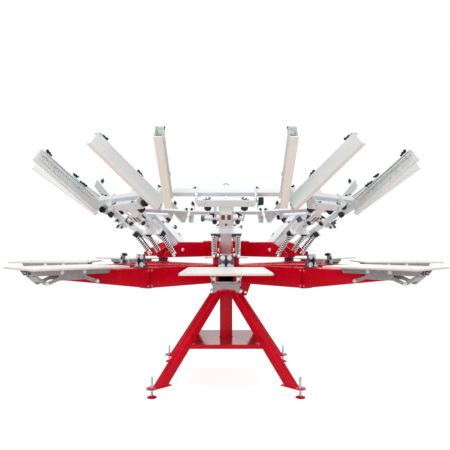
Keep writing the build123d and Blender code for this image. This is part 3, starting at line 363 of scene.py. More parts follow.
def leg_end(reach):
    """Each edge line of the tube carried along the leg by its own reach."""
    along = edge_lines + leg_run * reach[:, None]
    return np.column_stack((along[:, 0], section[:, 1], along[:, 1]))


to_plate = (FOOT_PLATE_TOP - edge_lines[:, 1]) / leg_run[1]
to_flange = (FLANGE_BOTTOM - edge_lines[:, 1]) / leg_run[1]
to_column = (COLUMN_FACE - edge_lines[:, 0]) / leg_run[0]
leg = Shape([leg_end(to_plate), leg_end(np.minimum(to_flange, to_column))])


def enamel(name, colour, deep, roughness, shine):
    """Sprayed enamel: tint that drifts over a hand's width, shallow orange peel, dusty patches."""
    paint = Finish(name, colour, roughness, **{"Specular IOR Level": shine})
    drift, peel = paint.noise(5, 3), paint.noise(45, 1)
    dust = paint.noise(14, 3, 0.55)
    tint = paint.blend(drift.above(0.3, 0.72), deep, colour)
    paint.coat(tint, dust.above(0.42, 0.8) * 0.12 + roughness, peel, 0.00003)
    return paint


red_paint = enamel("red_paint", (0.76, 0.001, 0.022), (0.64, 0.001, 0.015), 0.24, 0.14)
build("legs_tubes", red_paint, around_machine([leg], LEG_HEADINGS), "stand", "legs")

# ---- Weld seams ----
# Where tubes and plates meet they are joined by a rippled bead of weld, painted over.  The
# bead is a tube along the seam whose radius swells a little at every pass of the torch.


def sweep(path, radius, around=8, side=(0, 0, 1), loop=False):
    """Round bar along a path: circles across the path's tangent, of the radius at each point."""
    path = np.asarray(path, float)
    if loop:
        tangent = np.roll(path, -1, 0) - np.roll(path, 1, 0)
    else:
        tangent = np.gradient(path, axis=0)
    tangent = unit(tangent)
    side = np.broadcast_to(np.asarray(side, float), path.shape)
    first = unit(side - (side * tangent).sum(1, keepdims=True) * tangent)
    second = np.cross(tangent, first)
    turn = circle(around)[None, :, None]
    radius = np.broadcast_to(np.asarray(radius, float), len(path))[:, None, None]
    ring = first[:, None] * np.cos(turn) + second[:, None] * np.sin(turn)
    return Shape(path[:, None] + ring * radius, loop)


def bead(corners, radius, side=(0, 0, 1), pitch=4):
    """Weld bead along straight runs between corners, with one swelling every pitch."""
    shapes = []
    for start, end in zip(np.asarray(corners[:-1], float), np.asarray(corners[1:], float)):
        passes = max(2, int(np.linalg.norm(end - start) / pitch))
        share = np.linspace(0, 1, passes * 2 + 1)
        swell = radius * np.where(np.arange(len(share)) % 2, 1, 0.82)
        shapes.append(sweep(start + (end - start) * share[:, None], swell, 6, side))
    return shapes


CORNER_MIDDLES = [2, 7, 12, 17, 2]
foot_ring = leg_end(to_plate)[CORNER_MIDDLES]
leg_beads = bead(foot_ring, 3.2)
column_seam = [(COLUMN_FACE + 1, y, z) for y, z in ((30, 585), (30, 688), (-30, 688), (-30, 585))]
leg_beads += bead(column_seam[:2], 3, (1, 0, 0)) + bead(column_seam[2:], 3, (1, 0, 0))
build("stand_welds", red_paint, around_machine(leg_beads, LEG_HEADINGS), "stand")

# ---- Feet ----
# Each foot is a zinc-plated M16 screw through a welded plate, locked by a nut above and one
# below, and it stands in a turned and painted pad.
FOOT_RADIUS = 673
SCREW_LENGTH, THREAD_PITCH, NUT_FLATS = 130, 2, 24


def lathe(profile, around=48):
    """Profile of (radius, height) points turned about the Z axis."""
    radius, height = np.asarray(profile, float).T[:, :, None]
    return Shape(polar(radius, circle(around), height))


def thread(radius, length, pitch, around=16, steps=4):
    """Screw thread: the radius falls by 0.6 pitch and rises again once a pitch, as a helix."""
    height = np.linspace(0, length, int(length / pitch * steps) + 1)[:, None]
    turn = circle(around)
    phase = (height / pitch - turn / (2 * pi)) % 1
    depth = 0.6 * pitch * np.abs(2 * phase - 1)
    taper = np.clip(np.minimum(height, length - height) / pitch, 0, 1)
    r = radius - 0.6 * pitch + (0.6 * pitch - depth) * taper
    return Shape(polar(r, turn, height))


def hexagon(flats, height, chamfer=0.12, around=36):
    """Nut or bolt head: a six-sided bar whose corners a 28 degree cone takes off at the ends.

    The bar's radius at an angle is half the flats over the cosine to the nearest flat.
    """
    turn = circle(around)
    to_flat = (turn + pi / 6) % (pi / 3) - pi / 6
    bar = flats / 2 / np.cos(to_flat)
    face = flats / 2 * (1 - chamfer / 2)
    fall = (bar - face) * tan(radians(28))
    rings = (face, 0), (bar, fall), (bar, height - fall), (face, height)
    return Shape([polar(radius, turn, level) for radius, level in rings])


OUT = (1, 0, 0)     # the direction along an arm, away from the shaft


def set_at(shapes, place, along=(0, 0, 1)):
    """Shapes drawn on the Z axis, moved to a place with their Z along a direction."""
    z = np.asarray(along, float)
    z = z / np.linalg.norm(z)
    x = np.cross((0, 1, 0) if abs(z[1]) < 0.9 else (0, 0, 1), z)
    x /= np.linalg.norm(x)
    return [shape.turned((x, np.cross(z, x), z), place) for shape in shapes]


def plated(name, colour, roughness, speckle, metallic=1):
    """Plated or bare steel: faint grain, patches of duller film and small pits."""
    steel = Finish(name, colour, roughness, Metallic=metallic)
    film, grain = steel.noise(24, 4, 0.6), steel.noise(260)
    dull = tuple(0.78 * value for value in colour)
    tint = steel.blend(film.above(0.35, 0.75) * speckle, colour, dull)
    steel.coat(tint, film * 0.18 + (roughness - 0.06), grain, 0.00001)
    return steel


zinc_steel = plated("zinc_steel", (0.63, 0.66, 0.68), 0.3, 0.8)
PAD = [(30, 0), (32, 1.5), (32, 4.5), (30.5, 6), (24, 9), (17, 12)]
PAD += [(15.5, 13.6), (14, 14), (9, 14)]
pads = set_at([lathe(PAD)], (FOOT_RADIUS, 0, 0))
build("foot_pads_turned", red_paint, around_machine(pads, LEG_HEADINGS), "stand", "foot_pads")

foot_screw = set_at([thread(8, SCREW_LENGTH, THREAD_PITCH)], (FOOT_RADIUS, 0, 5))
for nut_z in (43, FOOT_PLATE_TOP):
    foot_screw += set_at([hexagon(NUT_FLATS, 13)], (FOOT_RADIUS, 0, nut_z))
build("foot_screws", zinc_steel, around_machine(foot_screw, LEG_HEADINGS), "stand",
      "levelling_screws")


def plate(outline, start, end, edge=0.8, steps=2):
    """Flat plate in XY from start to end in Z, with its edges rounded off.

    Near each face the outline is drawn in along its own normals by edge * (1 - sin), while
    the height falls short of the face by edge * (1 - cos).
    """
    outline = np.asarray(outline, float)
    before = outline - np.roll(outline, 1, 0)
    after = np.roll(outline, -1, 0) - outline
    run = unit(unit(before) + unit(after))
    x, y = outline.T
    area = (x * np.roll(y, -1) - y * np.roll(x, -1)).sum()
    inward = run[:, ::-1] * (-1, 1) * np.sign(area)
    rings = []
    for turn in np.linspace(0, pi / 2, steps + 1):
        drawn = outline + inward * edge * (1 - sin(turn))
        rings.append((drawn, start + edge * (1 - cos(turn))))
    rings += [(drawn, end + start - height) for drawn, height in rings[::-1]]
    return Shape([np.column_stack((drawn, np.full(len(drawn), z))) for drawn, z in rings])


ACROSS = [(0, 1, 0), (0, 0, 1), (1, 0, 0)]     # a plate drawn across the arm, or along it
ALONG = [(1, 0, 0), (0, 0, 1), (0, 1, 0)]


def block(x, y, z, corner, edge, steps=3):
    """Rounded rectangular plate between two values of x, of y and of z."""
    outline = [(x[0], y[0]), (x[1], y[0]), (x[1], y[1]), (x[0], y[1])]
    return plate(rounded(outline, corner, steps), *z, edge)


FOOT_INNER, FOOT_HALF, FOOT_BOTTOM = 536, 35, 56
foot_turn = np.linspace(-pi / 2, pi / 2, 25)
foot_square = [(FOOT_INNER, FOOT_HALF), (FOOT_INNER, -FOOT_HALF), (640, -35), (640, 35)]
foot_arc = polar(FOOT_HALF, foot_turn, 0)[:, :2] + (FOOT_RADIUS, 0)
foot_outline = np.concatenate((rounded(foot_square, (5, 5, 0.1, 0.1), 4)[:10], foot_arc))
foot_plate = plate(foot_outline, FOOT_BOTTOM, FOOT_PLATE_TOP, 1)
build("foot_plates_bent", red_paint, around_machine([foot_plate], LEG_HEADINGS), "stand",
      "foot_plates")

# ---- Shelf and column ----
# A square shelf of folded sheet sits between the legs on a welded angle frame, and the square
# centre column stands on it, turned to face the legs.
dress(red_paint, 1.2, "shelf_frame", "stop_bracket")
shelf_paint = enamel("dark_red_paint", (0.42, 0.02, 0.016), (0.33, 0.022, 0.014), 0.1, 0.25)
dress(shelf_paint, 0.8, "shelf_panel")

COLUMN_SIZE, SHELF_TOP = 70, 300
column = plate(box_outline(COLUMN_SIZE, COLUMN_SIZE, 8, 7), SHELF_TOP, FLANGE_BOTTOM, 0.2)
shelf_seam = [(x, y, SHELF_TOP + 1.5) for x, y in box_outline(73, 73, 9, 7)]
column_bead = sweep(shelf_seam, 3, 6, loop=True)
build("column_tube", red_paint, around_machine([column, column_bead], (45,)), "stand", "column")

# ---- Flange and shaft ----
# A turned flange closes the stand, and a ground steel shaft rises from it through both hubs to
# a collar.  A thrust washer carries the lower hub.
FLANGE = [(29, 690), (108.5, 690), (110, 691.5), (110, 703.5), (108.5, 705)]
FLANGE += [(50.5, 705), (50, 705.4), (50, 706.8), (29, 706.8)]
build("flange_turned", red_paint, [lathe(FLANGE, 96)], "stand", "head_flange")

bright_steel = plated("bright_steel", (0.72, 0.73, 0.74), 0.2, 0.4)
SHAFT = [(28, 635), (28, 1006.2), (42.5, 1006.2), (44, 1007.5), (44, 1016.5)]
SHAFT += [(41.5, 1019.6), (30, 1020), (18, 1020), (17, 1018), (9, 1018)]
COLLAR_SCREW = [(4.4, 0), (4.4, 2.2), (3.8, 2.8), (2.4, 2.8), (2.4, 1.2), (1, 1)]
COLLAR_RADIUS, COLLAR_FACE = 34.5, 1017.2
collar_screws = []
for spot in polar(COLLAR_RADIUS, circle(6), COLLAR_FACE):
    collar_screws += set_at([lathe(COLLAR_SCREW, 20)], spot)
build("shaft_turned", bright_steel, [lathe(SHAFT, 96)] + collar_screws, "stand", "centre_shaft")

# ---- Lower hub ----
# An eight-sided hub of welded steel plate turns on the shaft, on the washer over the flange,
# and carries the eight pallet arms.
STATIONS = np.arange(8) * 45 - 90
dress(red_paint, 1.5, "lower_hub")


def build_round(name, finish, shapes, *nodes, body="pallet_carousel"):
    """One piece of the same shapes at all the stations."""
    build(name, finish, around_machine(shapes, STATIONS), body, *nodes)


# ---- Inner arms ----
# Eight rectangular tubes with rolled corners are welded to the hub.  Each ends in a plate that
# is bolted to the plate of the tapered outer beam, with a relief slot cut across the joint.
HUB_FACE = 103
ARM_TOP, ARM_BOTTOM, ARM_WIDTH = 836, 707, 80
ARM_MIDDLE, ARM_HALF = (ARM_TOP + ARM_BOTTOM) / 2, (ARM_TOP - ARM_BOTTOM) / 2
JOINT, JOINT_WIDTH, ARM_CORNER = 725, 116, 7

arm_section = box_outline(ARM_WIDTH, ARM_TOP - ARM_BOTTOM, ARM_CORNER)
arm_section[:, 1] += ARM_MIDDLE


def across_arm(section, radius):
    """A section of (side, height) points standing across the arm at a radius."""
    return np.column_stack((np.full(len(section), radius), section))


SLOTTED = [(0, -ARM_HALF), (10, -ARM_HALF), (10, ARM_HALF), (0, ARM_HALF)]
SLOTTED += [(0, 35), (4, 34), (7, 28), (7, -28), (4, -34), (0, -35)]
root = Shape([across_arm(arm_section, HUB_FACE - 6), across_arm(arm_section, JOINT - 9)])


def joint_half(sign, start, end):
    """Half of the bolted joint on one side: a plate with half a slot in its bolted edge."""
    outline = [(JOINT - sign * depth, ARM_MIDDLE + height) for depth, height in SLOTTED]
    return plate(outline, start, end, 0.7).turned(ALONG)


def joint_end(sign):
    """The weld bead, the plain middle plate and the two slotted ears beside the tube."""
    seam = across_arm(box_outline(82, 128, 9) + (0, ARM_MIDDLE), JOINT - sign * 11)
    weld = sweep(seam, 2.4, 6, OUT, True)
    middle = plate(box_outline(10, ARM_TOP - ARM_BOTTOM, 0.5), -40.5, 40.5, 0.2)
    middle = middle.turned(ALONG, (JOINT - sign * 5, 0, ARM_MIDDLE))
    half = JOINT_WIDTH / 2
    return [weld, middle, joint_half(sign, 40, half), joint_half(sign, -half, -40)]


build_round("arm_roots_welded", red_paint, [root] + joint_end(1), "arm_roots")

# ---- Outer beams ----
# Tapered box beams of welded sheet steel carry the pallets.  Each is bolted by its slotted end
# plate to the plate of the inner arm, and its outer end is left open.
TIP, TIP_BOTTOM, ARM_WALL = 1290, 787, 4


def beam_ring(radius, wall):
    """The beam's section at a radius, drawn in by a wall; its floor rises towards the tip."""
    share = (radius - JOINT) / (TIP - JOINT)
    bottom = ARM_BOTTOM + (TIP_BOTTOM - ARM_BOTTOM) * share
    depth = ARM_TOP - bottom - 2 * wall
    outline = box_outline(ARM_WIDTH - 2 * wall, depth, max(ARM_CORNER - wall, 1))
    outline[:, 1] += (ARM_TOP + bottom) / 2
    return across_arm(outline, radius)


BEAM = [(JOINT + 9, 0), (TIP - 0.8, 0), (TIP, 0.8)]
BEAM += [(TIP, ARM_WALL - 0.8), (TIP - 0.8, ARM_WALL), (JOINT + 9, ARM_WALL)]
beam = Shape([beam_ring(radius, wall) for radius, wall in BEAM], loop=True)
build_round("arm_beams_tapered", red_paint, [beam] + joint_end(-1), "arm_beams")


def washer(inner, outer, thickness):
    """Flat washer with broken edges."""
    cut = 0.25
    profile = [(inner, 0), (outer - cut, 0), (outer, cut), (outer, thickness - cut)]
    profile += [(outer - cut, thickness), (inner, thickness)]
    return Shape(lathe(profile, 28).rings, loop=True)


def bolt(flats, height, washer_radius=0, tail=0):
    """Hexagon bolt head on its washer, with the end of its thread showing past it."""
    lift = 1.6 if washer_radius else 0
    shapes = set_at([hexagon(flats, height, around=24)], (0, 0, lift))
    if washer_radius:
        shapes.append(washer(flats * 0.3, washer_radius, 1.6))
    if tail:
        shapes += set_at([thread(flats * 0.3, tail, 1.5, 10, 3)], (0, 0, lift + height - 0.3))
    return shapes


joint_bolts = []
for side in (-49.2, 49.2):
    for height in (ARM_TOP - 16, ARM_BOTTOM + 16):
        joint_bolts += set_at(bolt(13, 5.4), (JOINT + 10, side, height), OUT)
        joint_bolts += set_at(bolt(13, 5.4, 0, 1.4), (JOINT - 10, side, height), (-1, 0, 0))
build_round("arm_joint_bolts_turned", zinc_steel, joint_bolts, "arm_joint_bolts")

# ---- Pallet boards ----
# The pallets are white laminate on plywood, 16 by 22 inches, with large rounded corners and a
# sealed edge in a pale cream tone.  Each lies on the channel under it.
PALLET_MIDDLE, PALLET_LENGTH, PALLET_WIDTH = 1244.5, 559, 406
PALLET_TOP, PALLET_THICKNESS = 860.5, 9.5

laminate = Finish("white_laminate", (0.86, 0.86, 0.85), 0.32, "white_laminate_board")
board_place = laminate.place(own=True)
facing = laminate.node("NewGeometry", output="Normal")
upward = laminate.node("SeparateXYZ", {0: facing}, output="Z").maths("ABSOLUTE")
plies = laminate.node("SeparateXYZ", {0: board_place}, output="Z")
ply_line = (plies * 2000).maths("FRACT").above(0.35, 0.65)
board_drift = laminate.noise(3.2, 3, place=board_place)
scuffs = laminate.noise(4, 5, 0.65, laminate.stretched(board_place, (6, 60, 1)))
board_grain = laminate.noise(90, place=board_place)
board_face = laminate.blend(board_drift, (0.86, 0.85, 0.82), (0.9, 0.9, 0.89))
board_face = laminate.blend(scuffs.above(0.6, 0.85) * 0.35, board_face, (0.72, 0.72, 0.71))
board_edge = laminate.blend(ply_line, (0.8, 0.74, 0.65), (0.88, 0.83, 0.76))
board_tint = laminate.blend(upward.above(0.45, 0.6), board_edge, board_face)
laminate.coat(board_tint, scuffs * 0.22 + 0.22, board_grain, 0.00001)

board_outline = box_outline(PALLET_LENGTH, PALLET_WIDTH, 18, 9) + (PALLET_MIDDLE, 0)
board = plate(board_outline, PALLET_TOP - PALLET_THICKNESS, PALLET_TOP, 1.2)
build_round("pallet_boards_laminated", laminate, [board], "pallet_boards")

# ---- Pallet brackets ----
# The channel under each board is folded from galvanised sheet and cut back at a slant at both
# ends.  It rests on the arm over packers, and two cross bolts a side clamp it to a saddle.
BRACKET_START, BRACKET_END = 1000, 1489
BRACKET_TOP, BRACKET_BOTTOM = 851, 817
BRACKET_HALF, BRACKET_WALL, BRACKET_SLANT = 64, 4, 25


def folded(line, wall, bend, steps=4):
    """Section of a folded sheet from its fold line, which is rounded at the bends.

    The section walks out along one side of the line and back along the other, half a wall off.
    """
    line = np.asarray(line, float)
    inner = [line[0]]
    for i in range(1, len(line) - 1):
        arc = rounded([line[i - 1], line[i], line[i + 1]], (0.01, bend, 0.01), steps)
        inner += list(arc[steps: 2 * steps])
    inner = np.array(inner + [line[-1]])
    run = np.gradient(inner, axis=0)
    run[1:-1] = unit(inner[1:-1] - inner[:-2]) + unit(inner[2:] - inner[1:-1])
    run = unit(run)
    normal = run[:, ::-1] * (-1, 1) * wall / 2
    return np.concatenate((inner + normal, (inner - normal)[::-1]))


def galvanised(name, colour, dark, metallic, spangle, slot=""):
    """Hot-dip zinc: flat crystals a few millimetres wide, each with its own grey and sheen."""
    zinc = Finish(name, colour, 0.42, slot, Metallic=metallic)
    bent, stain = zinc.noise(60), zinc.noise(9, 4, 0.6)
    crystals = {"Vector": zinc.place(), "Scale": spangle, "Randomness": 1}
    cell = zinc.node("TexVoronoi", crystals, output="Color")
    shade = zinc.node("SeparateXYZ", {0: cell})
    mottled = zinc.blend(shade * 0.75 + bent * 0.25, dark, colour)
    tint = zinc.blend(stain.above(0.45, 0.85) * 0.4, mottled, dark)
    zinc.coat(tint, shade * 0.18 + 0.3, bent, 0.00002)
    return zinc


folded_steel = galvanised("folded_steel", (0.37, 0.35, 0.36), (0.24, 0.225, 0.235), 0.45, 110)
flange, web = BRACKET_HALF - BRACKET_WALL / 2, BRACKET_TOP - BRACKET_WALL / 2
bracket_line = [(-flange, BRACKET_BOTTOM), (-flange, web), (flange, web), (flange, BRACKET_BOTTOM)]
bracket_section = folded(bracket_line, BRACKET_WALL, 3.5)
fall = (BRACKET_TOP - bracket_section[:, 1]) / (BRACKET_TOP - BRACKET_BOTTOM)
slant = fall * BRACKET_SLANT
bracket = Shape([
    np.column_stack((BRACKET_START + slant, bracket_section)),
    np.column_stack((BRACKET_END - slant, bracket_section)),
])
build_round("pallet_brackets_folded", folded_steel, [bracket], "pallet_brackets")
dress(folded_steel, 0.8, "pallet_packers")

# The saddle is two profiled cheeks with a sloping end plate between them, cut out between its
# two feet.
CHEEK = [(1162.5, 847), (1326.5, 847), (1326.5, 808), (1388.5, 783), (1442.5, 817), (1454.5, 813)]
CHEEK += [(1400.5, 767), (1380.5, 767), (1322.5, 788), (1166.5, 788), (1108.5, 767), (1088.5, 767)]
CHEEK += [(1092.5, 783), (1162.5, 808)]
saddle = [plate(rounded(CHEEK, 2, 3), y, y + 5, 0.8).turned(ALONG) for y in (-59.7, 54.7)]
END_PLATE = [(0.5, -59.6), (0.5, -46), (25, -36), (25, 36), (0.5, 46), (0.5, 59.6)]
END_PLATE += [(70.5, 59.6), (70.5, -59.6)]
slope = np.array([54.0, 0.0, 46.0]) / np.hypot(54.0, 46.0)
end_plate = plate(rounded(END_PLATE, 2.5, 3), 0.2, 5.2, 0.8)
saddle.append(end_plate.turned([slope, (0, 1, 0), (-slope[2], 0, slope[0])], (1400.5, 0, 767)))
build_round("pallet_saddles_welded", folded_steel, saddle, "pallet_saddles")

white_end = galvanised("end_frame_steel", (0.74, 0.74, 0.75), (0.62, 0.62, 0.63), 0.35, 110,
                       "folded_steel")
angle_steel = galvanised("end_angle_steel", (0.17, 0.2, 0.2), (0.08, 0.1, 0.1), 0.3, 110,
                         "galvanised_steel")
SADDLE_HALF = 59.7
pallet_bolts = []
for side in (-1, 1):
    for radius in (1178.5, 1310.5):
        spot = (radius, side * BRACKET_HALF, 833)
        pallet_bolts += set_at(bolt(17, 6.2, 12), spot, (0, side, 0))
    for radius in (1096.5, 1392.5):
        spot = (radius, side * SADDLE_HALF, 775)
        pallet_bolts += set_at(bolt(17, 8, 11, 5.5), spot, (0, side, 0))

# A small U-shaped frame closes the channel's outer end, bolted to an angle on each side.
U_FRAME = [(-51, 850.5), (-51, 810), (51, 810), (51, 850.5)]
U_FRAME += [(46, 850.5), (46, 819), (-46, 819), (-46, 850.5)]
end_frame = [plate(U_FRAME, 1446, 1450, 0.8).turned(ACROSS)]
end_angles = []
for side in (-1, 1):
    width = (side * 51.5, side * 59.8)
    end_angles.append(block((1438, 1458), width, (820, 848), 1.5, 0.8))
    pallet_bolts += set_at(bolt(13, 5, 8), (1458, side * 54.5, 833), OUT)
build_round("pallet_end_frames", white_end, end_frame)
build_round("pallet_end_angles", angle_steel, end_angles)
build_round("pallet_bolts_turned", zinc_steel, pallet_bolts, "pallet_bolts")

# ---- Registration gates ----
# A galvanised angle plate stands across each arm behind the joint.  Two pairs of white nylon
# rollers on shoulder screws guide the head's tongue, and a black cast lever locks it.
# The gate plates' zinc is coloured deep navy, much darker than the other galvanised steel: painted
# shade and painted dark reflection, over the real spangle and stains.
galvanised_steel = galvanised("galvanised_steel", (0.145, 0.185, 0.265), (0.045, 0.06, 0.1),
                              0.3, 90)
dress(galvanised_steel, 1, "registration_gates")

nylon = Finish("white_nylon", (0.84, 0.85, 0.85), 0.34, "white_plastic",
               **{"Subsurface Weight": 0.1})
handled = nylon.blend(nylon.noise(60, 3), (0.78, 0.79, 0.79), (0.88, 0.89, 0.89))
nylon.coat(handled, 0.34, nylon.noise(200), 0.00001)
GATE_FACE = 760
ROLLER = [(6, 0), (13.2, 0), (14.5, 1.2), (14.2, 4), (14.2, 8), (14.5, 10.8)]
ROLLER += [(13.4, 12), (9, 12), (8.4, 11), (6.2, 11)]
ROLLER_SCREW = [(5.6, 10.8), (5.6, 12), (4.6, 12.6), (2.6, 12.6), (2.6, 11.6), (1, 11.4)]
rollers, roller_screws = [], []
for height in (857, 904):
    for side in (-19, 19):
        rollers += set_at([lathe(ROLLER, 40)], (GATE_FACE, side, height), OUT)
        roller_screws += set_at([lathe(ROLLER_SCREW, 16)], (GATE_FACE, side, height), OUT)
build_round("registration_rollers_turned", nylon, rollers, "registration_rollers")
build_round("registration_roller_screws", zinc_steel, roller_screws)

# The black plastic is filled with glass: fine eggshell grain, rubbed smoother in patches.
BLACK, RUBBED = (0.01, 0.011, 0.014), (0.028, 0.0302, 0.0368)
black_plastic = Finish("black_plastic", BLACK, 0.42, **{"Specular IOR Level": 0.22})
worn = black_plastic.noise(30, 3, 0.6)
worn_black = black_plastic.blend(worn.above(0.45, 0.85), BLACK, RUBBED)
black_plastic.coat(worn_black, worn * 0.25 + 0.3, black_plastic.noise(300), 0.00002)
dress(black_plastic, 1.2, "registration_levers")
LATCH_LINE = [(763, 3, 893), (764, -1, 902), (765, -7, 911), (765, -13, 917)]
latch = [sweep(LATCH_LINE, (4.6, 5, 4.4, 3), 12)]
latch += set_at([hexagon(19, 22, around=24)], (731, 0, 907), OUT)
latch.append(block((738, 752), (-40, 40), (856, 865), 2, 1))
build_round("registration_latches", black_plastic, latch)
gate_bolts = []
for side in (-1, 1):
    gate_bolts += set_at(bolt(13, 5, 9), (GATE_FACE, side * 36, 856), OUT)
    gate_bolts += set_at(bolt(13, 5, 9), (771, side * 34, 842), (0, 0, 1))
build_round("registration_gate_bolts", zinc_steel, gate_bolts)
gate_block = block((737, 753.6), (-32, 32), (842, 856), 2, 1)
build_round("registration_gate_blocks", red_paint, [gate_block])

# ---- Upper hub and cheeks ----
# The head carousel's hub is an eight-sided drum under a wider cap plate.  A pair of cheek
# plates runs out from it at each station to carry a head's pivot and spring bolts.
dress(red_paint, 1.5, "upper_hub")
dress(red_paint, 1.2, "head_cheeks")
CAP_TOP, CAP_CIRCLE = 1006, 152
cap_screws = []
for heading in STATIONS:
    for spot in polar(CAP_CIRCLE, np.radians([heading - 9, heading + 9]), CAP_TOP):
        cap_screws += set_at(bolt(10, 4, 8), spot)
build("cap_plate_screws", zinc_steel, cap_screws, "head_carousel")

# ---- Pivot and spring bolts ----
# Each head hangs on a domed, zinc-plated pivot bolt.  A second bolt, of bright steel, runs
# across the cheeks, and the cups on it hold the lower ends of the springs.
PIVOT = np.array([454.0, 0.0, 946.0])
CHEEK_OUTSIDE = 45
SPRING_BOLT = np.array([547.0, 0.0, 915.0])
SPRING_SIDE = 73
SPRING_TOP = np.array([662.6, 0.0, 1062.5])
spring_axis = SPRING_TOP - SPRING_BOLT
spring_axis /= np.linalg.norm(spring_axis)

DOME = [(12, 0), (12, 1.2), (11.4, 4), (9.6, 6.8), (6.8, 8.8), (3.4, 9.6), (1, 9.7)]
pivots = []
for side in (-1, 1):
    pivots += set_at([lathe(DOME, 32)], (PIVOT[0], side * CHEEK_OUTSIDE, PIVOT[2]), (0, side, 0))
build_round("pivot_bolts_domed", zinc_steel, pivots, "pivot_bolts", body="head_carousel")

CUP = [(9, -6), (15.8, -6), (17, -4.8), (17, 10.5), (15.6, 12), (13, 12)]
CUP += [(12.4, 11), (6, 11)]
cross_bolt = sweep([(0, 0, 0), (0, 0, 60), (0, 0, 120), (0, 0, 180)], 8, 24, OUT)
spring_bolts = set_at([cross_bolt], SPRING_BOLT - (0, 90, 0), (0, 1, 0))
for side in (-1, 1):
    seat = SPRING_BOLT + (0, side * SPRING_SIDE, 0)
    spring_bolts += set_at([lathe(CUP, 32)], seat, spring_axis)
    spring_bolts += set_at(bolt(15, 4), SPRING_BOLT + (0, side * 86, 0), (0, side, 0))
build_round("spring_bolts_turned", bright_steel, spring_bolts, "spring_bolts",
            body="head_carousel")

# ---- Compression springs ----
# Two springs of round wire with closed ends push each head up.  They stand between the cups on
# the spring bolt and the caps under the head's cross plate, and shorten as the head comes down.
WIRE_RADIUS, COIL_RADIUS, COIL_TURNS = 2.6, 14.3, 10
COIL_START, COIL_END = 13, 164.4

turn = np.linspace(0, 2 * pi * (COIL_TURNS + 2), int((COIL_TURNS + 2) * 22))
closed, active = 2 * pi, 2 * pi * COIL_TURNS
climb = np.clip(turn - closed, 0, active) / active
ends = np.clip(turn, 0, closed) + np.clip(turn - closed - active, 0, closed)
lay = 2 * WIRE_RADIUS * ends / closed
free = COIL_END - COIL_START - 6 * WIRE_RADIUS
coil_height = COIL_START + WIRE_RADIUS + lay + climb * free
ROD = [(1, COIL_START), (8.4, COIL_START), (8.6, COIL_START + 1)]
ROD += [(8.6, COIL_END - 1), (8.4, COIL_END), (1, COIL_END)]
rod = lathe(ROD, 24)
coil = sweep(polar(COIL_RADIUS, turn, coil_height), WIRE_RADIUS, 8, polar(1, turn, 0))

spring_steel = plated("spring_steel", (0.88, 0.89, 0.9), 0.3, 0.3)
# The wire's side facing the coil's axis, and the rod inside the coil, are painted near black:
# painted shade inside the coil.
wire = spring_steel.node("SeparateXYZ", {0: spring_steel.place(own=True)})
across = Signal(spring_steel, wire.socket.node.outputs["Y"])
from_axis = (wire * wire + across * across).maths("SQRT")
painted_shade_inside = 1 - from_axis.above((COIL_RADIUS - 1) * MM, (COIL_RADIUS + 0.8) * MM)
bright_wire = Signal(spring_steel, spring_steel.surface.inputs["Base Color"].links[0].from_socket)
spring_steel.paint(**{"Base Color": spring_steel.blend(painted_shade_inside, bright_wire, (0.05, 0.045, 0.05))})
HEADS = range(1, 9)
for head in HEADS:
    heading = STATIONS[head - 1]
    coils = []
    for side in (-1, 1):
        coils += set_at([coil, rod], SPRING_BOLT + (0, side * SPRING_SIDE, 0), spring_axis)
    springs = build(f"head_{head}_springs", spring_steel, around_machine(coils, (heading,)), None,
                    "head_springs")
    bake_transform(springs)

# ---- Print heads ----
# A head is a powder-coated square arm with a yoke across its end.  In the yoke's end plates
# slides a square crossbar.  The pieces are drawn in the head's own frame: x out along the arm
# from the pivot, y to the side, z up from the arm.
RAISE = radians(36.4)


def on_head(shapes, head):
    """Shapes in the head's frame, tipped up about the pivot and turned to the head's station."""
    c, s = cos(RAISE), sin(RAISE)
    tipped = [shape.turned([(c, 0, s), (0, 1, 0), (-s, 0, c)], PIVOT) for shape in shapes]
    return around_machine(tipped, (STATIONS[head - 1],))


def build_head(head, name, finish, shapes, body="", *nodes):
    """One piece of a head; it rides the head unless another body is named."""
    own = f"head_{head}"
    build(f"{own}_{name}", finish, on_head(shapes, head), body or own,
          *[f"{own}_{node}" for node in nodes])


white_paint = enamel("white_paint", (0.84, 0.87, 0.9), (0.79, 0.82, 0.86), 0.34, 0.35)
dress(white_paint, 1, "head_1_arm", "head_1_yoke", "head_1_crossbar", "head_1_registration_bar")
dress(white_paint, 1, *[f"head_{head}_frame" for head in HEADS[1:]])

YOKE_FACE, YOKE_BOTTOM, MICRO_SIDE = 520, -35, 104
CROSSBAR_RADIUS, CROSSBAR_HEIGHT, BAIL_HEIGHT = 505, 38, 54
DOWN = (0, 0, -1)
yoke_bolts = []
for side in (-1, 1):
    for size, spot, along in (
        ((15, 6, 12), (YOKE_FACE, side * 122, -21), OUT),
        ((10, 4, 8), (498, side * 120, YOKE_BOTTOM), DOWN),
        ((10, 4, 8), (482, side * 143, YOKE_BOTTOM), DOWN),
        ((13, 5, 10), (488, side * 166, 4), (0, side, 0)),
        ((13, 5, 10), (522, side * 166, 4), (0, side, 0)),
        ((10, 4), (245, side * 62, -20), OUT),
    ):
        yoke_bolts += set_at(bolt(*size), spot, along)
yoke_bolts += set_at(bolt(8, 3.4), (YOKE_FACE, 0, -14), OUT)
for side in (-114, 88):
    yoke_bolts += set_at(bolt(12, 6, 9), (362, side, -40), DOWN)
slide_rod = sweep([(378, -62, -31), (420, -62, -31), (464, -62, -31)], 8, 20)

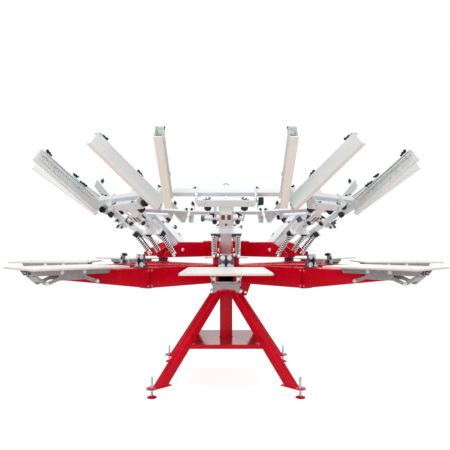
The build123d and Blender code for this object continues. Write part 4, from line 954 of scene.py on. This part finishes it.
# A pressed grip with a finger slot stands over the bail, a window plate closes the sole behind
# the registration bar, and dark bushings guide the micro screws through the yoke's face.
GRIP_RADIUS, GRIP_MIDDLE = 25, 42
arch = polar(GRIP_RADIUS, np.linspace(0, pi, 15), 0)[:, :2] + (0, GRIP_MIDDLE)
GRIP = [(-30, 0), (30, 0), (30, 4), (25, 7), *arch, (-25, 7), (-30, 4)]
bail = (CROSSBAR_RADIUS, 0, BAIL_HEIGHT)
grip = plate(GRIP, -5, 5, 1.4).turned(ACROSS, bail)
slot_arch = np.linspace(0.32, pi - 0.32, 11)
outer, inner = (polar(reach, slot_arch, 0)[:, :2] * (1, 1.1) + (0, 31) for reach in (17, 12.5))
finger_slot = plate([*outer, *inner[::-1]], -5.4, 5.4, 0.3).turned(ACROSS, bail)
window_plate = block((326, 414), (-35, 35), (-43, -24.4), 3, 1.2)
# The two windows are brown plates under the window plate, standing in for the shaded parts seen
# through its openings: painted shade. The small plate nearer the pivot is a label in the same
# brown.
windows = [block((360, 403), (y, y + 21), (-43.6, -42), 1.5, 0.3) for y in (-28, 7)]
windows.append(block((281, 300), (-7, 7), (-25, -23.8), 1.5, 0.2))
OVAL = [(-19, -7), (0, -10.5), (19, -7), (19, 7), (0, 10.5), (-19, 7)]
oval = plate(rounded(OVAL, 5, 4), 0, 2.6, 0.8)
guides = [oval.turned(ACROSS, (YOKE_FACE, y, -21)) for y in (-MICRO_SIDE, MICRO_SIDE)]
end_block = block((346, 376), (-146, -126), (-46, -20), 3, 1.5)
window_shade_and_label_paint = enamel("window_shade_and_label_brown", (0.24, 0.075, 0.06), (0.15, 0.05, 0.045), 0.4, 0.3)
window_shade_and_label_paint.slot = shelf_paint.slot
dark_trim = Finish("dark_guides", (0.075, 0.085, 0.095), 0.38, "black_plastic", Metallic=0.3)
dark_trim.paint(Roughness=dark_trim.noise(60, 3) * 0.25 + 0.25)
for head in HEADS:
    build_head(head, "grip", white_paint, [grip, window_plate])
    build_head(head, "windows", window_shade_and_label_paint, windows)
    build_head(head, "guides", dark_trim, guides + [finger_slot, end_block])
    build_head(head, "bolts", zinc_steel, yoke_bolts)
    build_head(head, "slide_rod", bright_steel, [slide_rod])

# ---- Head knobs ----
# Black moulded knobs and tee handles: two round knobs on the registration bar's lugs, two tee
# screws before the bar, two bowl-shaped caps over the springs, and knurled adjusting knobs.


def lobed(profile, lobes, depth, around=56):
    """Turned knob whose radius dips between its lobes: r * (1 - depth * (1 - cos) / 2)."""
    profile = np.asarray(profile, float)
    turn = circle(around)
    dip = 1 - depth * (1 - np.cos(lobes * turn)) / 2
    radius, height = profile.T[:, :, None]
    share = np.clip((radius - radius.max() * 0.6) / (radius.max() * 0.4), 0, 1)
    return Shape(polar(radius * (1 - share * (1 - dip)), turn, height))


REG_KNOB = [(6, 0), (8, 0.6), (8, 2), (13.6, 2.6), (15, 4.4), (15, 11)]
REG_KNOB += [(13.6, 13.2), (9, 14), (4, 14), (1, 13.6)]
CAP = [(20.2, 0), (21, 0.8), (21.6, 6), (21.6, 25), (20.6, 33), (19.2, 34), (18.4, 33)]
CAP += [(18.4, 21), (6, 20.4)]
TEE_STEM = [(5, 0), (5, 13), (6.8, 18), (6.8, 22)]
REG_BAR_END, REG_MIDDLE, REG_LUG_FACE = 372, -32, 358

tee_reach = np.linspace(-1, 1, 13)
tee_bar = np.column_stack((np.zeros(13), 21.6 * tee_reach, 26 - 1.2 * tee_reach ** 2))
tee_radius = 5.4 * np.sqrt(np.clip(1.08 - tee_reach ** 8, 0.05, 1))
tee = [lathe(TEE_STEM, 16), sweep(tee_bar, tee_radius, 12, OUT)]
TILT = [(0.82, -0.57, 0), (0.57, 0.82, 0), (0, 0, 1)]
tilted = [shape.turned(TILT) for shape in tee]
arm_knobs = []
for side in (-1, 1):
    knob = lobed(REG_KNOB, 7, 0.16)
    arm_knobs += set_at([knob], (REG_LUG_FACE, side * 66, -63), OUT)
    arm_knobs += set_at([lathe(CAP, 40)], (237, side * SPRING_SIDE, -30), (-1, 0, 0))
    handle = tee if side < 0 else tilted
    arm_knobs += set_at(handle, (REG_BAR_END, side * 74, REG_MIDDLE), OUT)

MICRO_KNOB = [(6, 0), (18.5, 0), (20.6, 2.2), (21, 4), (21, 25), (20.4, 28)]
MICRO_KNOB += [(18, 30), (8, 30)]


def knurled(profile, ribs):
    """Turned knob with straight ribs along its grip."""
    return lobed(profile, ribs, 0.075, ribs * 4)


def micro_screw(side):
    """Knurled knob behind the yoke and the screw that runs through it."""
    knob = set_at([knurled(MICRO_KNOB, 22)], (432, side * MICRO_SIDE, -20), OUT)
    screw = set_at([thread(4.9, 64, 1.5, 12, 4)], (462, side * MICRO_SIDE, -20), OUT)
    return knob, screw


SIDE_KNOB = [(6, 0), (20, 0), (22.2, 2.2), (22.5, 4), (22.5, 23.5), (21.6, 26.4)]
SIDE_KNOB += [(19, 28), (8, 28)]
side_knob = set_at([knurled(SIDE_KNOB, 24)], (497, 181, -20), (0, 1, 0))
side_screw = set_at([thread(4.9, 15.6, 1.5, 12, 4)], (497, 165.8, -20), (0, 1, 0))

# ---- Side clamps ----
# Two channels folded from satin aluminium grip the screen frame.  Each hangs on the crossbar
# by a carriage with a locking knob, and two wing screws press a loose strip on the frame.
CLAMP_START, CLAMP_LENGTH = 484, 517
CLAMP_INNER, CLAMP_OUTER, CLAMP_FLOOR, CLAMP_ROOF = 299, 343, -65, 14
CLAMP_WALL = 4

aluminium = Finish("clamp_aluminium", (0.72, 0.74, 0.74), 0.48, Metallic=0.12)
clamp_place = aluminium.place(own=True)
drawn_lines = aluminium.noise(3, place=aluminium.stretched(clamp_place, (1, 40, 40)))
clamp_drift = aluminium.noise(7, 3, place=clamp_place)
clamp_tint = aluminium.blend(clamp_drift, (0.8, 0.85, 0.85), (0.86, 0.9, 0.9))
# The channel's floor is tinted warm beige on its underside: painted warm reflection of the floor
# below it.
clamp_height = aluminium.node("SeparateXYZ", {0: clamp_place}, output="Z")
painted_floor_reflection = 1 - clamp_height.above(-0.064, -0.0605)
clamp_tint = aluminium.blend(painted_floor_reflection * 0.85, clamp_tint, (0.9, 0.83, 0.75))
worn_lines = drawn_lines.above(0.35, 0.75) * 0.14
clamp_tint = aluminium.blend(worn_lines, clamp_tint, (0.58, 0.6, 0.6))
aluminium.paint(**{"Base Color": clamp_tint, "Roughness": drawn_lines * 0.14 + 0.42})


def clamp_channel(side):
    """Folded channel, open towards the screen, with a lip along its floor and roof."""
    half = CLAMP_WALL / 2
    inner, outer = CLAMP_INNER + half, CLAMP_OUTER - half
    low, high = CLAMP_FLOOR + half, CLAMP_ROOF - half
    line = [(inner, CLAMP_FLOOR + 8), (inner, low), (outer, low), (outer, high)]
    line.append((CLAMP_INNER, high))
    section = folded(line, CLAMP_WALL, 3.6) * (side, 1)
    return Shape([across_arm(section, x) for x in (CLAMP_START, CLAMP_START + CLAMP_LENGTH)])


def clamp_metal(side):
    """The channel, the loose strip under its roof and the carriage on the crossbar."""
    strip = block((560, 985), (side * 299, side * 327), (-2, 2), 3, 0.6, 5)
    carriage = plate(box_outline(48, 48, 5), 299, 327, 1.2)
    carriage = carriage.turned([(1, 0, 0), (0, 0, 1), (0, side, 0)],
                               (CROSSBAR_RADIUS, 0, CROSSBAR_HEIGHT))
    return [clamp_channel(side), strip, carriage]


WING = [(-28, 32), (-25, 36.5), (-16, 35), (-7, 30), (7, 30), (16, 35), (25, 36.5), (28, 32)]
WING += [(26, 25), (18, 18), (9, 15.5), (-9, 15.5), (-18, 18), (-26, 25)]
wing = plate(rounded(WING, 2.2, 3), -7, 7, 2.8).turned(ALONG)
WING_BOSS = [(12, 15.5), (14.6, 17.5), (14.2, 27), (11, 34.5), (4, 37)]
wing_body = [wing, lathe(WING_BOSS, 24)]
CARRIAGE_KNOB = [(6, 62), (8, 63), (8, 65), (12, 66), (13, 68.5)]
CARRIAGE_KNOB += [(13, 74), (11, 76.6), (5, 77), (1, 76.6)]
SCREW_SIDE = 313
WING_TURNS = {676: 0.35, 958: -0.5}     # each wing's place on the clamp and its turn


def clamp_fittings(side):
    """Wing screws and carriage knob: the black parts, then the steel ones."""
    black, steel = [], []
    y = side * SCREW_SIDE
    for place, turn in WING_TURNS.items():
        black += [part.turned(about_z(turn * side), (place, y, 0)) for part in wing_body]
        steel += set_at([thread(4, 14, 1.25, 12, 4)], (place, y, 2))
        steel += set_at([washer(4, 14, 2)], (place, y, 14))
        steel += set_at([hexagon(15, 9, around=24)], (place, y, -11))
    black += set_at([lobed(CARRIAGE_KNOB, 5, 0.2, 50)], (CROSSBAR_RADIUS, y, 0))
    return black, steel


def side_parts(side):
    """Clamp, its black and steel fittings, and the micro screw's knob and thread."""
    return (clamp_metal(side), *clamp_fittings(side), *micro_screw(side))


for side, hand in ((-1, "left"), (1, "right")):
    metal, black, steel, knob, screw = side_parts(side)
    slides, turns = f"head_1_{hand}_clamp", f"head_1_{hand}_screw"
    for name, finish, shapes, body, node in (
        ("channel", aluminium, metal, slides, "clamp"),
        ("wings", black_plastic, black, slides, "wing_screws"),
        ("clamp_screws", zinc_steel, steel, slides, "wing_screws"),
        ("micro_knob", black_plastic, knob, turns, "micro_screw"),
        ("micro_thread", zinc_steel, screw, turns, "micro_screw"),
    ):
        build_head(1, f"{hand}_{name}", finish, shapes, body, f"{node}_{hand}")
build_head(1, "side_knob_grip", black_plastic, side_knob, "head_1_side_screw", "side_knob")
build_head(1, "side_knob_thread", zinc_steel, side_screw, "head_1_side_screw", "side_knob")
build_head(1, "arm_knobs", black_plastic, arm_knobs, "", "knobs")

metal, black, steel, knob, screw = (a + b for a, b in zip(side_parts(-1), side_parts(1)))
black, steel = arm_knobs + black + knob + side_knob, steel + screw + side_screw
for head in HEADS[1:]:
    build_head(head, "channels", aluminium, metal, "", "clamps")
    build_head(head, "black_knobs", black_plastic, black, "", "knobs")
    build_head(head, "screws", zinc_steel, steel, "", "knobs")
